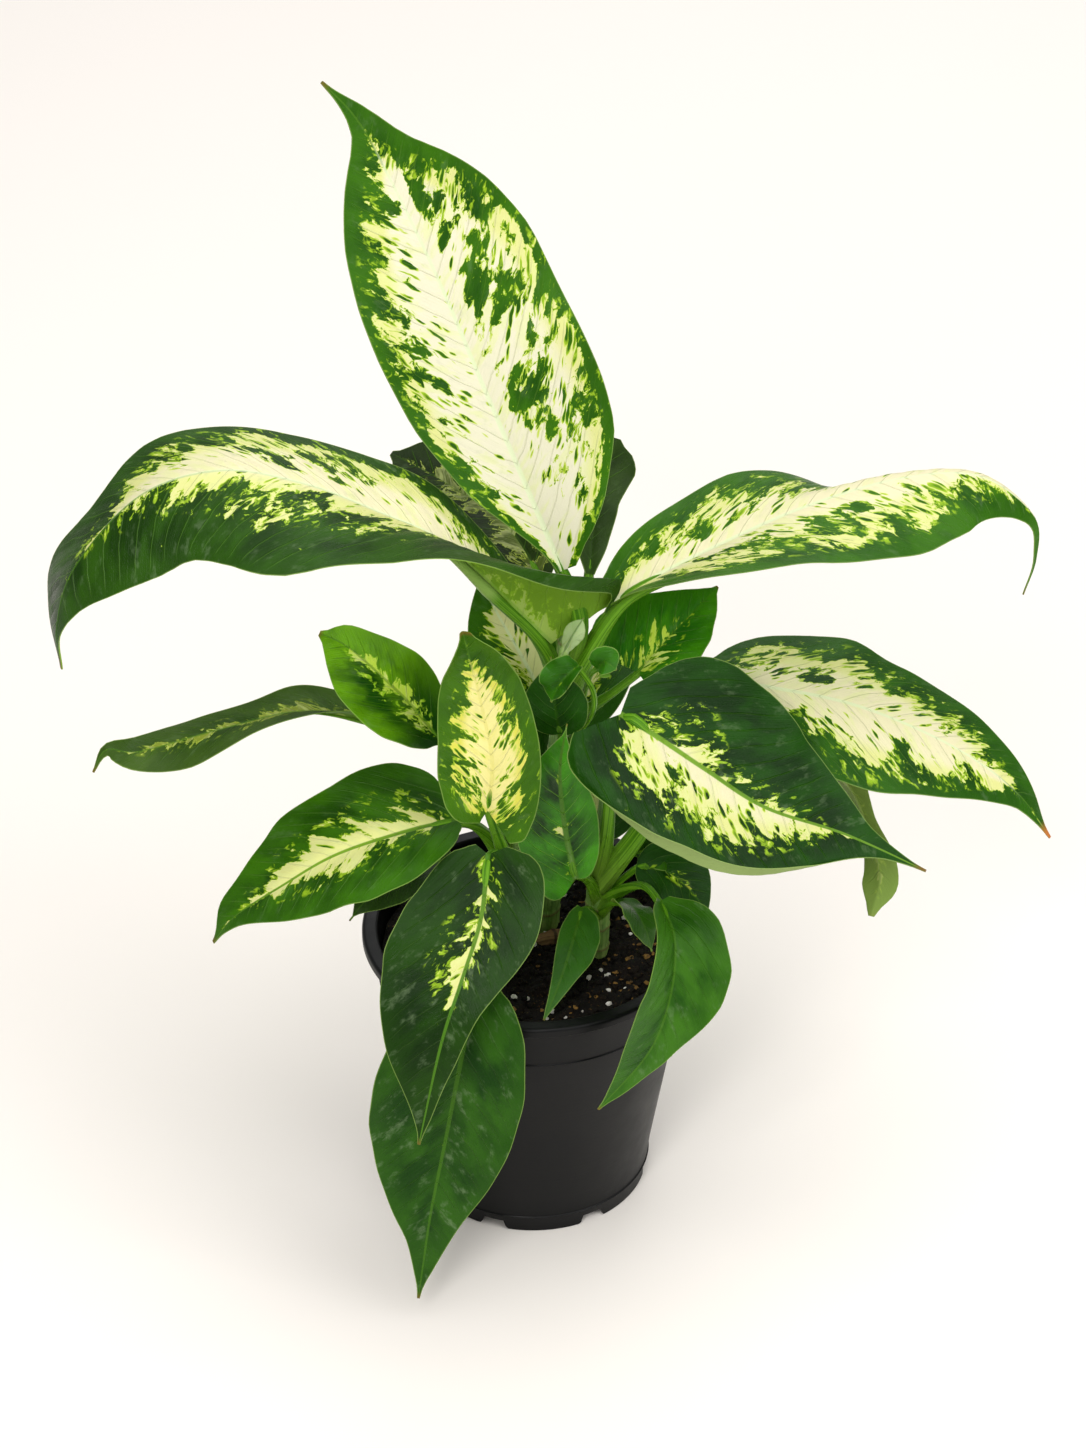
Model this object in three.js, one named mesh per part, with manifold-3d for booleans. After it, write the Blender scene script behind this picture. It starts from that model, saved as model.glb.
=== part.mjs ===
// A potted dieffenbachia: a nursery pot, its soil, three canes and their variegated leaves.
// Millimetres, +Z up, +X to the right and +Y away from the viewer of the plant's front.
// The origin is the centre of the pot's underside, on the surface that the pot stands on.
import * as THREE from "three";
import { mergeVertices } from "three/addons/utils/BufferGeometryUtils.js";
import Module from "manifold-3d";

const wasm = await Module();
wasm.setup();

// Pot
const POT_HEIGHT = 137;
const LIP_RADIUS = 77;
const LIP_DROP = 4.5;
const WALL = 1.7;
const WALL_TOP_RADIUS = 71.6;
const BAND_RADIUS = 69.3;
const BAND_HEIGHT = 111;
const FOOT_RADIUS = 53.4;
const FOOT_HEIGHT = 9;
const SKIRT_RADIUS = 52.5;
const LINE_SIZE = 0.6;
const LIP_ROUNDING = 0.8;
const FLOOR_RADIUS = 38;
const CHANNEL_RADIUS = 50.4;
const CHANNEL_HEIGHT = 5;
const CHANNEL_SLANT = 1.2;
const POT_SIDES = 48;
const NOTCHES = 7;
const NOTCH_ANGLE = -20;
const NOTCH_WIDTH = 12.5;
const NOTCH_HEIGHT = 5;
const NOTCH_SLANT = 1.5;
const NOTCH_DEPTH = 8;
const DRAIN_LENGTH = 7;
const DRAIN_WIDTH = 9;

// Soil
const SOIL_HEIGHT = 127;
const SOIL_BUMP = 1.3;
const SOIL_SAG = 2.5;
const SOIL_EDGE = 1.6;
const SOIL_CORNER = 3;
const SOIL_RINGS = [14, 28, 42, 55, 65];
const SOIL_SIDES = 24;

// Clearance between neighbouring pieces, and how leaves and canes are divided
const GAP = 0.3;
const BLADE = 0.8;
const BLADE_COLUMNS = [-1, -0.58, -0.1, 0, 0.1, 0.58, 1];
const ROW_LENGTH = 21;
const ROWS_AT_LEAST = 5;
const ROWS_AT_MOST = 10;
const ROW_CROWDING = 1.3;
const NARROWEST = 0.7;
const BODY_END = 0.93;
const STALK_SIDES = 6;
const STALK_STEP = 15;
const STALK_OVERLAP = 0.14;
const STALK_TAPER = 1.6;
const LOBE_LENGTH = 0.35;
const EDGE_SOFTNESS = 0.03;
const ROLL_BEND = 4;
const ROLL_LIP = 0.93;
const SIDE_PHASE = 0.37;
const CANE_SIDES = 8;

// Canes: the points of each one's middle line, its radius at the foot and at the top, and the
// distance between its leaf scars.
const CANES = {
  cane_main: { line: [[4, 14, 92], [6, 12, 150], [12, 9, 220], [17, 7, 294]], radius: [7.4, 5.2], scars: 15 },
  cane_left: { line: [[-13, -14, 92], [-12, -18, 150], [-9, -24, 212]], radius: [6.4, 4.6], scars: 14 },
  cane_right: { line: [[27, -3, 92], [29, -8, 150], [30, -14, 190]], radius: [6.6, 4.8], scars: 13 },
};
const SCAR_HEIGHT = 0.5;
// The dry stub of an old cane, lying half in the soil.
const STUB = { line: [[16, 5, 125], [8, 1, 128], [0, -2, 127]], radius: [4.6, 2.6], scars: 9 };

// Leaves. cane and height: the cane that the leaf grows from, and the height where its stalk
// leaves it. stalk: the stalk's points on from there up to the blade.
// rib: the midrib's points from the blade's base to its tip. face: which way the upper face looks
// at the base, in the middle and at the tip. wide: half widths to the left and right of the rib,
// seen from above with the tip ahead. shape: where along the blade it is widest, how bluntly it
// starts, how soon it narrows, and how much of its width runs on into a drawn-out tip.
// fold: how far the left and the right half rise from the face at base, middle and tip, in
// degrees. curl: how much further each half's edge turns up, in degrees. wave: the height of the
// edge's waves, how many there are along the blade, and their phase. lobe: how far the base lobes
// reach back, one number or one a side. stem: the stalk's radius at the cane and at the blade.
// edges, in place of wide and shape: the half widths of the left and of the right side, each as
// [share of the rib's length, width] from base to tip. roll, for a blade whose margin turns over:
// its side (0 left, 1 right), the share of the half's width where it starts, how far it turns in
// degrees, and the stretch of the rib over which it comes and goes.
const LEAVES = {
  leaf_top: {
    cane: "cane_main", height: 274, stalk: [[20, 2, 303]],
    rib: [[13, 5, 324], [-18, 25, 397], [-41, 38, 453], [-62, 46, 499], [-73, 46, 521], [-86, 42, 539]],
    face: [[0.3, -0.85, 0.4], [0.25, -0.85, 0.45], [0.2, -0.8, 0.5]],
    edges: [
      [[0, 2], [0.05, 6], [0.1, 13], [0.2, 27], [0.35, 37], [0.5, 40], [0.6, 38], [0.7, 32], [0.8, 20],
        [0.88, 5], [1, 0.7]],
      [[0, 4], [0.05, 20], [0.1, 31], [0.2, 45], [0.3, 48], [0.6, 45], [0.7, 37], [0.78, 25], [0.82, 15],
        [0.9, 6], [1, 0.7]],
    ],
    fold: [[22, 6, 0], [22, 6, 0]], curl: [6, 6], wave: [2.5, 2.2, 0.1], lobe: 0, stem: [5, 3.4],
  },
  leaf_left: {
    cane: "cane_main", height: 244, stalk: [[11, 2, 268]],
    rib: [[8, 0, 290], [-33, -12, 346], [-67, -18, 370], [-97, -22, 386], [-130, -27, 395],
      [-163, -34, 387], [-191, -42, 357], [-200, -46, 330], [-199, -48, 309]],
    face: [[0.5, -0.2, 0.8], [0, -0.22, 0.97], [-0.85, -0.35, 0.3]],
    edges: [
      [[0, 28], [0.03, 50], [0.08, 53], [0.15, 48], [0.3, 44], [0.42, 52], [0.5, 59], [0.58, 50],
        [0.66, 37], [0.75, 34], [0.85, 20], [0.92, 6], [1, 0.7]],
      [[0, 6], [0.1, 14], [0.2, 20], [0.3, 30], [0.38, 35], [0.5, 41], [0.62, 43], [0.68, 39], [0.73, 27],
        [0.78, 20], [0.84, 26], [0.9, 28], [0.94, 22], [0.97, 10], [1, 0.7]],
    ],
    fold: [[114, 2, -14], [36, -14, -6]], curl: [-8, 0], wave: [3, 2, 0.3], lobe: 6, stem: [5.5, 4],
    roll: [0, 0.86, -150, -0.32, 0.32],
  },
  leaf_right: {
    cane: "cane_main", height: 252, stalk: [[22, 4, 276]],
    rib: [[34, 6, 306], [50, 12, 314], [74, 18, 325], [116, 30, 340], [159, 40, 349], [194, 42, 349],
      [218, 38, 331], [220, 34, 312], [215, 30, 295]],
    face: [[-0.4, -0.2, 0.85], [-0.05, -0.1, 0.98], [0.85, -0.3, 0.35]],
    edges: [
      [[0, 8], [0.04, 16], [0.1, 25], [0.2, 37], [0.3, 45], [0.4, 42], [0.5, 36], [0.6, 31], [0.7, 24],
        [0.8, 14], [0.88, 4], [1, 0.7]],
      [[0, 3], [0.05, 14], [0.12, 27], [0.2, 38], [0.3, 44], [0.5, 42], [0.6, 40], [0.7, 32], [0.78, 15],
        [0.84, 5], [0.92, 2], [1, 0.7]],
    ],
    fold: [[30, -10, -30], [46, -8, -14]], curl: [-8, 0], wave: [2.5, 2.3, 0.2], lobe: 4, stem: [5.5, 4],
    roll: [0, 0.15, -75, 0.3, 1.05],
  },
  leaf_right_mid: {
    cane: "cane_right", height: 168, stalk: [[40, -19, 190], [50, -20, 208], [62, -14, 226], [70, 2, 246]],
    rib: [[74, 14, 262], [104, 10, 260], [143, 4, 254], [183, -4, 239], [212, -12, 220], [228, -20, 200]],
    face: [[-0.1, -0.2, 0.95], [0.1, -0.2, 0.95], [0.5, -0.25, 0.8]],
    edges: [
      [[0, 6], [0.05, 22], [0.12, 34], [0.25, 42], [0.36, 42], [0.44, 36], [0.6, 35], [0.7, 28], [0.8, 19],
        [0.9, 8], [1, 0.7]],
      [[0, 6], [0.06, 24], [0.12, 34], [0.25, 39], [0.4, 41], [0.55, 38], [0.7, 27], [0.8, 15], [0.88, 6],
        [1, 0.7]],
    ],
    fold: [[-2, -6, 0], [4, -6, 0]], curl: [-4, -4], wave: [2, 2.2, 0.4], lobe: 0, stem: [5.2, 3.4],
  },
  leaf_front_right: {
    cane: "cane_right", height: 176, stalk: [[32, -22, 205], [34, -28, 240]],
    rib: [[38, -28, 272], [54, -37, 266], [75, -46, 255], [100, -58, 244], [134, -72, 240],
      [168, -82, 228]],
    face: [[0.1, -0.5, 0.85], [0.15, -0.55, 0.82], [0.2, -0.4, 0.88]],
    edges: [
      [[0, 9], [0.05, 30], [0.12, 42], [0.22, 48], [0.32, 47], [0.45, 42], [0.6, 30], [0.7, 19], [0.8, 8],
        [0.9, 3], [1, 0.7]],
      [[0, 18], [0.05, 34], [0.12, 43], [0.2, 48], [0.3, 52], [0.45, 48], [0.6, 34], [0.7, 22], [0.8, 9],
        [0.88, 3], [1, 0.7]],
    ],
    fold: [[6, 0, 0], [4, 8, 0]], curl: [0, 0], wave: [2, 2, 0.1], lobe: [8, 28], stem: [5, 3.6],
    roll: [1, 0.84, 90, -0.15, 1],
  },
  leaf_right_under: {
    cane: "cane_main", height: 186, stalk: [[24, 17, 204], [42, 26, 216]],
    rib: [[66, 30, 222], [106, 28, 220], [137, 18, 208], [149, 6, 190], [155, -8, 171], [151, -18, 155]],
    face: [[0, 0, 1], [0.3, 0.75, 0.6], [0.3, 0.9, 0]],
    edges: [
      [[0, 4], [0.2, 20], [0.4, 24], [0.52, 17], [0.62, 7], [0.7, 5], [0.8, 9], [0.92, 9], [0.98, 5],
        [1, 1]],
      [[0, 4], [0.2, 20], [0.4, 24], [0.52, 17], [0.62, 7], [0.7, 5], [0.8, 8], [0.92, 8], [0.98, 4],
        [1, 1]],
    ],
    fold: [[10, 6, 20], [10, 6, 20]], curl: [0, 0], wave: [1.5, 2, 0], lobe: 2, stem: [4, 2.6],
  },
  leaf_back_small: {
    cane: "cane_main", height: 226, stalk: [[22, 12, 243], [36, 12, 256]],
    rib: [[46, 14, 265], [58, 22, 276], [70, 28, 287], [81, 32, 298]],
    face: [[-0.3, -0.5, 0.8], [-0.3, -0.5, 0.8], [-0.2, -0.5, 0.8]],
    edges: [
      [[0, 16], [0.05, 26], [0.2, 32], [0.35, 28], [0.5, 23], [0.75, 12], [0.88, 5], [1, 0.7]],
      [[0, 12], [0.1, 18], [0.36, 21], [0.65, 16], [0.85, 9], [0.93, 4], [1, 0.7]],
    ],
    fold: [[12, 4, 0], [12, 4, 0]], curl: [0, 0], wave: [1, 2, 0.2], lobe: [9, 4], stem: [4, 2.4],
  },
  leaf_back_left: {
    cane: "cane_main", height: 262, stalk: [[13, 15, 284]],
    rib: [[4, 26, 306], [-12, 45, 322], [-38, 62, 333], [-62, 75, 340]],
    face: [[0.2, -0.3, 0.95], [0, -0.4, 0.9], [-0.2, -0.4, 0.9]],
    edges: [
      [[0, 4], [0.1, 18], [0.3, 31], [0.5, 33], [0.7, 28], [0.85, 18], [0.95, 8], [1, 1]],
      [[0, 4], [0.1, 18], [0.3, 30], [0.5, 32], [0.7, 26], [0.85, 16], [0.95, 7], [1, 1]],
    ],
    fold: [[20, 4, 0], [20, 4, 0]], curl: [0, 0], wave: [1.5, 2, 0.2], lobe: 3, stem: [4.6, 3],
  },
  leaf_back_right: {
    cane: "cane_main", height: 268, stalk: [[21, 13, 290]],
    rib: [[25, 24, 310], [27, 42, 326], [33, 58, 342], [37, 66, 353]],
    face: [[0.1, -0.6, 0.6], [0.2, -0.7, 0.6], [0.2, -0.7, 0.5]],
    edges: [
      [[0, 2], [0.2, 8], [0.4, 12], [0.6, 14], [0.8, 13], [0.93, 8], [1, 2]],
      [[0, 2], [0.2, 7], [0.4, 9], [0.55, 9], [0.7, 11], [0.8, 13], [0.92, 9], [1, 2]],
    ],
    fold: [[20, 10, 0], [20, 4, 0]], curl: [0, 0], wave: [1, 2, 0], lobe: 2, stem: [4.4, 2.8],
  },
  leaf_back_centre: {
    cane: "cane_main", height: 214, stalk: [[11, 16, 232]],
    rib: [[5, 20, 247], [-5, 26, 266], [-16, 34, 284], [-24, 38, 302]],
    face: [[0.2, -0.85, 0.4], [0.2, -0.85, 0.4], [0.2, -0.85, 0.4]],
    wide: [19, 20], shape: [0.5, 0.55, 1.15, 0.1],
    fold: [[20, 6, 0], [20, 6, 0]], curl: [0, 0], wave: [1, 2, 0], lobe: 2, stem: [4, 2.4],
  },
  leaf_front_centre: {
    cane: "cane_left", height: 186, stalk: [[-13, -37, 206]],
    rib: [[-19, -54, 239], [-17, -53, 264], [-21, -51, 290], [-26, -52, 316], [-29, -56, 333]],
    face: [[0.2, -0.9, 0.3], [0.1, -0.9, 0.4], [0, -0.7, 0.7]],
    edges: [
      [[0, 5], [0.06, 20], [0.15, 27], [0.3, 28], [0.5, 23], [0.7, 19], [0.8, 15], [0.88, 10], [0.95, 5],
        [1, 2]],
      [[0, 10], [0.05, 18], [0.15, 21], [0.5, 21], [0.7, 19], [0.85, 15], [0.95, 10], [1, 5]],
    ],
    fold: [[40, 10, 30], [30, 10, 30]], curl: [20, 10], wave: [1.5, 2, 0.2], lobe: [5, 32], stem: [4.4, 2.8],
  },
  leaf_lime: {
    cane: "cane_left", height: 194, stalk: [[-13, -28, 218], [-25, -33, 243]],
    rib: [[-40, -38, 266], [-52, -38, 284], [-67, -38, 302], [-79, -36, 313], [-90, -34, 318]],
    face: [[0.5, -0.6, 0.6], [0.45, -0.6, 0.65], [0.2, -0.6, 0.7]],
    edges: [
      [[0, 3], [0.08, 12], [0.2, 20], [0.4, 26], [0.6, 26], [0.75, 21], [0.88, 13], [0.96, 6], [1, 1]],
      [[0, 3], [0.1, 10], [0.2, 15], [0.4, 18], [0.6, 16], [0.75, 12], [0.88, 8], [0.96, 4], [1, 1]],
    ],
    fold: [[24, 12, 0], [24, 12, 0]], curl: [6, 6], wave: [1, 2, 0], lobe: 3, stem: [4, 2.4],
  },
  leaf_narrow_left: {
    cane: "cane_main", height: 202, stalk: [[0, 7, 220], [-18, 2, 232]],
    rib: [[-40, -4, 244], [-70, -12, 258], [-100, -20, 268], [-135, -28, 264], [-169, -36, 258],
      [-183, -39, 261], [-189, -42, 251]],
    face: [[0, -0.1, 1], [0, -0.15, 1], [-0.5, -0.3, 0.8]],
    edges: [
      [[0, 2], [0.1, 7], [0.3, 12], [0.45, 12], [0.6, 14], [0.72, 15], [0.8, 11], [0.88, 5.5], [0.94, 2.5],
        [1, 0.7]],
      [[0, 2], [0.1, 9], [0.3, 14], [0.42, 14], [0.5, 12], [0.75, 12], [0.86, 8], [0.93, 2.5], [1, 0.7]],
    ],
    fold: [[95, 20, -70], [10, 0, 0]], curl: [0, 0], wave: [2, 1.6, 0.3], lobe: 2, stem: [4, 2.4],
  },
  leaf_lower_left: {
    cane: "cane_left", height: 180, stalk: [[-17, -28, 202], [-25, -37, 219]],
    rib: [[-33, -46, 229], [-57, -56, 229], [-85, -64, 223], [-108, -70, 211], [-128, -74, 198], [-138, -76, 185]],
    face: [[0, -0.3, 0.95], [-0.1, -0.3, 0.95], [-0.4, -0.3, 0.85]],
    edges: [
      [[0, 4], [0.05, 13], [0.12, 20], [0.25, 27], [0.4, 30], [0.55, 27], [0.68, 19], [0.78, 11], [0.86, 6],
        [0.93, 3], [1, 0.7]],
      [[0, 5], [0.06, 26], [0.15, 34], [0.28, 35], [0.38, 31], [0.5, 32], [0.6, 31], [0.7, 24], [0.8, 16],
        [0.9, 11], [0.96, 5], [1, 0.7]],
    ],
    fold: [[14, 4, 0], [14, 4, 0]], curl: [-6, 0], wave: [2, 2, 0.2], lobe: [4, 10], stem: [4.2, 2.8],
  },
  leaf_droop_left: {
    cane: "cane_left", height: 172, stalk: [[-13, -34, 194], [-15, -48, 212]],
    rib: [[-19, -62, 222], [-22, -86, 205], [-30, -105, 187], [-39, -118, 162], [-49, -127, 114]],
    face: [[0, -0.6, 0.8], [0, -0.85, 0.5], [0, -0.95, 0.3]],
    edges: [
      [[0, 6], [0.05, 20], [0.12, 26], [0.25, 26], [0.38, 19], [0.5, 12], [0.6, 10], [0.7, 8], [0.8, 5],
        [1, 0.7]],
      [[0, 4], [0.05, 16], [0.12, 24], [0.25, 33], [0.4, 36], [0.55, 31], [0.7, 22], [0.8, 13], [0.9, 5],
        [1, 0.7]],
    ],
    fold: [[12, 4, 0], [12, 4, 0]], curl: [0, 0], wave: [1.5, 2, 0.2], lobe: 16, stem: [4.2, 2.8],
  },
  leaf_lowest: {
    cane: "cane_left", height: 140, stalk: [[-18, -42, 164], [-21, -64, 174]],
    rib: [[-24, -81, 165], [-31, -94, 134], [-38, -102, 96], [-45, -108, 58], [-51, -113, 13]],
    face: [[0, -0.9, 0.4], [0, -0.95, 0.3], [0, -0.98, 0.2]],
    edges: [
      [[0, 6], [0.05, 16], [0.15, 26], [0.3, 31], [0.45, 29], [0.6, 23], [0.72, 15], [0.82, 9], [0.92, 3.5],
        [1, 0.7]],
      [[0, 8], [0.05, 20], [0.15, 30], [0.3, 36], [0.45, 35], [0.6, 27], [0.72, 17], [0.8, 9], [0.9, 4],
        [1, 0.7]],
    ],
    fold: [[12, 4, 0], [12, 4, 0]], curl: [0, 0], wave: [1.5, 2, 0.2], lobe: 12, stem: [4, 3],
  },
  leaf_droop_right: {
    cane: "cane_right", height: 150, stalk: [[39, -22, 172], [49, -38, 187]],
    rib: [[56, -50, 188], [62, -66, 178], [60, -78, 156], [51, -86, 132], [29, -90, 103]],
    face: [[0.4, -0.6, 0.6], [0.4, -0.8, 0.45], [0.4, -0.9, 0.3]],
    edges: [
      [[0, 3], [0.06, 14], [0.15, 22], [0.3, 27], [0.42, 25], [0.52, 18], [0.62, 11], [0.75, 7], [0.88, 4],
        [1, 0.7]],
      [[0, 2], [0.08, 11], [0.2, 18], [0.4, 24], [0.55, 21], [0.7, 14], [0.82, 7], [0.92, 2.5], [1, 0.7]],
    ],
    fold: [[14, 4, 0], [40, 30, 0]], curl: [0, 0], wave: [1, 2, 0.2], lobe: 6, stem: [4, 2.2],
  },
  leaf_small_front: {
    cane: "cane_right", height: 142, stalk: [[26, -20, 160]],
    rib: [[22, -25, 165], [17, -42, 156], [11, -56, 144], [5, -66, 134]],
    face: [[0, -0.6, 0.8], [0, -0.6, 0.8], [0, -0.6, 0.8]],
    edges: [
      [[0, 2], [0.08, 8], [0.25, 12], [0.45, 11], [0.6, 7], [0.75, 4], [0.9, 1.5], [1, 0.7]],
      [[0, 2], [0.08, 5], [0.25, 7], [0.45, 6], [0.65, 4], [0.85, 2], [1, 0.7]],
    ],
    fold: [[14, 6, 0], [14, 6, 0]], curl: [0, 0], wave: [0.6, 2, 0.2], lobe: 3, stem: [3, 1.8],
  },
  leaf_centre_low: {
    cane: "cane_right", height: 158, stalk: [[25, -22, 178]],
    rib: [[19, -37, 190], [14, -38, 220], [12, -36, 248], [15, -30, 268]],
    face: [[0, -0.9, 0.4], [0, -0.9, 0.4], [0, -0.9, 0.4]],
    wide: [22, 15], shape: [0.42, 0.45, 1.15, 0.1],
    fold: [[10, 4, 0], [10, 4, 0]], curl: [0, 0], wave: [1, 2, 0.2], lobe: [30, 4], stem: [3.6, 2.2],
  },
  leaf_small_dark: {
    cane: "cane_main", height: 216, stalk: [[13, -4, 238]],
    rib: [[12, -18, 254], [10, -20, 269], [9, -18, 279], [8, -14, 292]],
    face: [[-0.2, -0.9, 0.4], [-0.2, -0.9, 0.4], [-0.2, -0.9, 0.4]],
    wide: [14, 15], shape: [0.45, 0.55, 1.15, 0.1],
    fold: [[10, 4, 0], [10, 4, 0]], curl: [0, 0], wave: [0.6, 2, 0.2], lobe: 2, stem: [3, 2],
  },
  leaf_speckled_a: {
    cane: "cane_main", height: 158, stalk: [[22, 6, 172], [38, -2, 180]],
    rib: [[46, -6, 181], [59, -5, 184], [68, -5, 178], [73, -7, 168]],
    face: [[0, -0.5, 0.85], [0.1, -0.5, 0.85], [0.4, -0.5, 0.75]],
    wide: [13, 13], shape: [0.45, 0.55, 1.15, 0.1],
    fold: [[10, 4, 0], [10, 4, 0]], curl: [0, 0], wave: [0.6, 2, 0.2], lobe: 2, stem: [3, 2],
  },
  leaf_speckled_b: {
    cane: "cane_right", height: 138, stalk: [[34, -8, 160]],
    rib: [[46, -14, 180], [60, -16, 178], [71, -20, 170], [79, -26, 160]],
    face: [[0, -0.5, 0.85], [0.1, -0.5, 0.85], [0.4, -0.5, 0.75]],
    wide: [16, 17], shape: [0.45, 0.55, 1.15, 0.1],
    fold: [[10, 4, 0], [10, 4, 0]], curl: [0, 0], wave: [0.6, 2, 0.2], lobe: 2, stem: [3, 2],
  },
  leaf_low_dark: {
    cane: "cane_left", height: 150, stalk: [[-22, -24, 178]],
    rib: [[-34, -34, 198], [-54, -42, 200], [-71, -50, 190], [-80, -54, 180]],
    face: [[0, -0.2, 0.95], [0, -0.2, 0.95], [0, -0.2, 0.95]],
    wide: [17, 18], shape: [0.42, 0.55, 1.15, 0.1],
    fold: [[10, 4, 0], [10, 4, 0]], curl: [0, 0], wave: [0.8, 2, 0.2], lobe: 3, stem: [3.6, 2.2],
  },
  leaf_folded: {
    cane: "cane_right", height: 146, stalk: [[34, -20, 163]],
    rib: [[38, -23, 168], [45, -32, 170], [50, -40, 165], [53, -44, 155]],
    face: [[0.5, -0.4, 0.7], [0.75, -0.55, 0.3], [0.8, -0.6, 0.1]],
    wide: [11, 11], shape: [0.45, 0.55, 1, 0.1],
    fold: [[10, 4, 0], [10, 4, 0]], curl: [0, 0], wave: [0.5, 2, 0.2], lobe: 2, stem: [3, 1.8],
  },
  leaf_curled_left: {
    cane: "cane_main", height: 222, stalk: [[18, -8, 246], [26, -22, 268], [26, -26, 283]],
    rib: [[20, -31, 299], [17, -35, 299], [12, -37, 294], [8, -38, 285]],
    face: [[0, -0.8, 0.6], [0, -0.8, 0.6], [-0.6, -0.8, 0.1]],
    wide: [5, 10], shape: [0.5, 0.6, 0.8, 0.1],
    fold: [[50, 30, 10], [20, 10, 10]], curl: [10, 0], wave: [1.6, 2.6, 0.2], lobe: 1, stem: [2.6, 1.6],
  },
  leaf_curled_right: {
    cane: "cane_main", height: 234, stalk: [[21, -6, 262], [25, -22, 288]],
    rib: [[28, -28, 295], [31, -31, 301], [36, -34, 299]],
    face: [[-0.3, -0.7, 0.6], [0.1, -0.8, 0.6], [0.4, -0.8, 0.4]],
    wide: [7, 7], shape: [0.6, 0.55, 0.7, 0],
    fold: [[30, 20, 10], [20, 10, 10]], curl: [0, 0], wave: [0.5, 2, 0.2], lobe: 0, stem: [2.4, 1.5],
  },
  new_leaf: {
    cane: "cane_main", height: 266, stalk: [[13, -3, 280]],
    rib: [[13, -8, 289], [17, -9, 299], [22, -8, 308]],
    face: [[-0.2, -0.9, 0.3], [-0.2, -0.9, 0.3], [-0.2, -0.9, 0.4]],
    wide: [6, 6], shape: [0.5, 0.55, 0.8, 0.1],
    fold: [[-50, -40, -20], [-50, -40, -20]], curl: [0, 0], wave: [0, 2, 0], lobe: 0, stem: [3.4, 2.6],
  },
  leaf_rear_left: {
    cane: "cane_main", height: 156, stalk: [[3, 24, 176]],
    rib: [[0, 38, 192], [-14, 60, 208], [-32, 88, 206], [-48, 112, 188]],
    face: [[0, 0.1, 1], [-0.1, 0.3, 0.9], [-0.2, 0.6, 0.7]],
    wide: [28, 28], shape: [0.42, 0.55, 1.15, 0.14],
    fold: [[12, 4, 0], [12, 4, 0]], curl: [0, 0], wave: [1.5, 2, 0.2], lobe: 6, stem: [4.2, 2.8],
  },
  leaf_rear_right: {
    cane: "cane_main", height: 134, stalk: [[15, 22, 148]],
    rib: [[24, 34, 158], [38, 57, 176], [54, 84, 176], [66, 110, 158]],
    face: [[0, 0.1, 1], [0.1, 0.3, 0.9], [0.2, 0.6, 0.7]],
    wide: [28, 28], shape: [0.42, 0.55, 1.15, 0.14],
    fold: [[12, 4, 0], [12, 4, 0]], curl: [0, 0], wave: [1.5, 2, 0.5], lobe: 6, stem: [4.2, 2.8],
  },
  leaf_rear: {
    cane: "cane_main", height: 178, stalk: [[12, 25, 196]],
    rib: [[17, 42, 212], [20, 70, 232], [22, 98, 226], [24, 122, 200]],
    face: [[0, 0, 1], [0, 0.3, 0.95], [0, 0.8, 0.6]],
    wide: [28, 28], shape: [0.42, 0.55, 1.15, 0.14],
    fold: [[12, 4, 0], [12, 4, 0]], curl: [0, 0], wave: [1.5, 2, 0.8], lobe: 6, stem: [4.2, 2.8],
  },
};

const COLOURS = { leaf: 0x3f7d2c, stem: 0x7aa545, pot: 0x202226, soil: 0x2b1d14, stub: 0x6b4a2a };

// Blend of three values given at the base, the middle and the tip.
function along([base, middle, tip], s) {
  return base * (1 - s) * (1 - 2 * s) + middle * 4 * s * (1 - s) + tip * s * (2 * s - 1);
}

function vector(point) {
  return new THREE.Vector3(...point);
}

function smoothLine(points) {
  return new THREE.CatmullRomCurve3(points.map(vector), false, "catmullrom", 0.5);
}

// Geometry from a list of points and a list of triangles.
function meshOf(points, triangles) {
  const geometry = new THREE.BufferGeometry();
  const positions = points.flatMap((point) => [point.x, point.y, point.z]);
  geometry.setAttribute("position", new THREE.Float32BufferAttribute(positions, 3));
  geometry.setIndex(triangles.flat());
  return geometry;
}

// A closed manifold-3d solid from a closed three.js geometry.
function solidOf(geometry) {
  const bare = geometry.clone();
  bare.deleteAttribute("normal");
  bare.deleteAttribute("uv");
  const merged = mergeVertices(bare, 1e-4);
  return new wasm.Manifold(new wasm.Mesh({
    numProp: 3,
    vertProperties: new Float32Array(merged.attributes.position.array),
    triVerts: new Uint32Array(merged.index.array),
  }));
}

function geometryOf(solid) {
  const mesh = solid.getMesh();
  const geometry = new THREE.BufferGeometry();
  geometry.setAttribute("position", new THREE.BufferAttribute(mesh.vertProperties, 3));
  geometry.setIndex(new THREE.BufferAttribute(mesh.triVerts, 1));
  geometry.computeVertexNormals();
  return geometry;
}

// The largest body of a solid that a cut may have left in pieces.
function largestBody(solid) {
  const bodies = solid.decompose();
  return bodies.reduce((best, body) => (body.volume() > best.volume() ? body : best));
}

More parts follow.
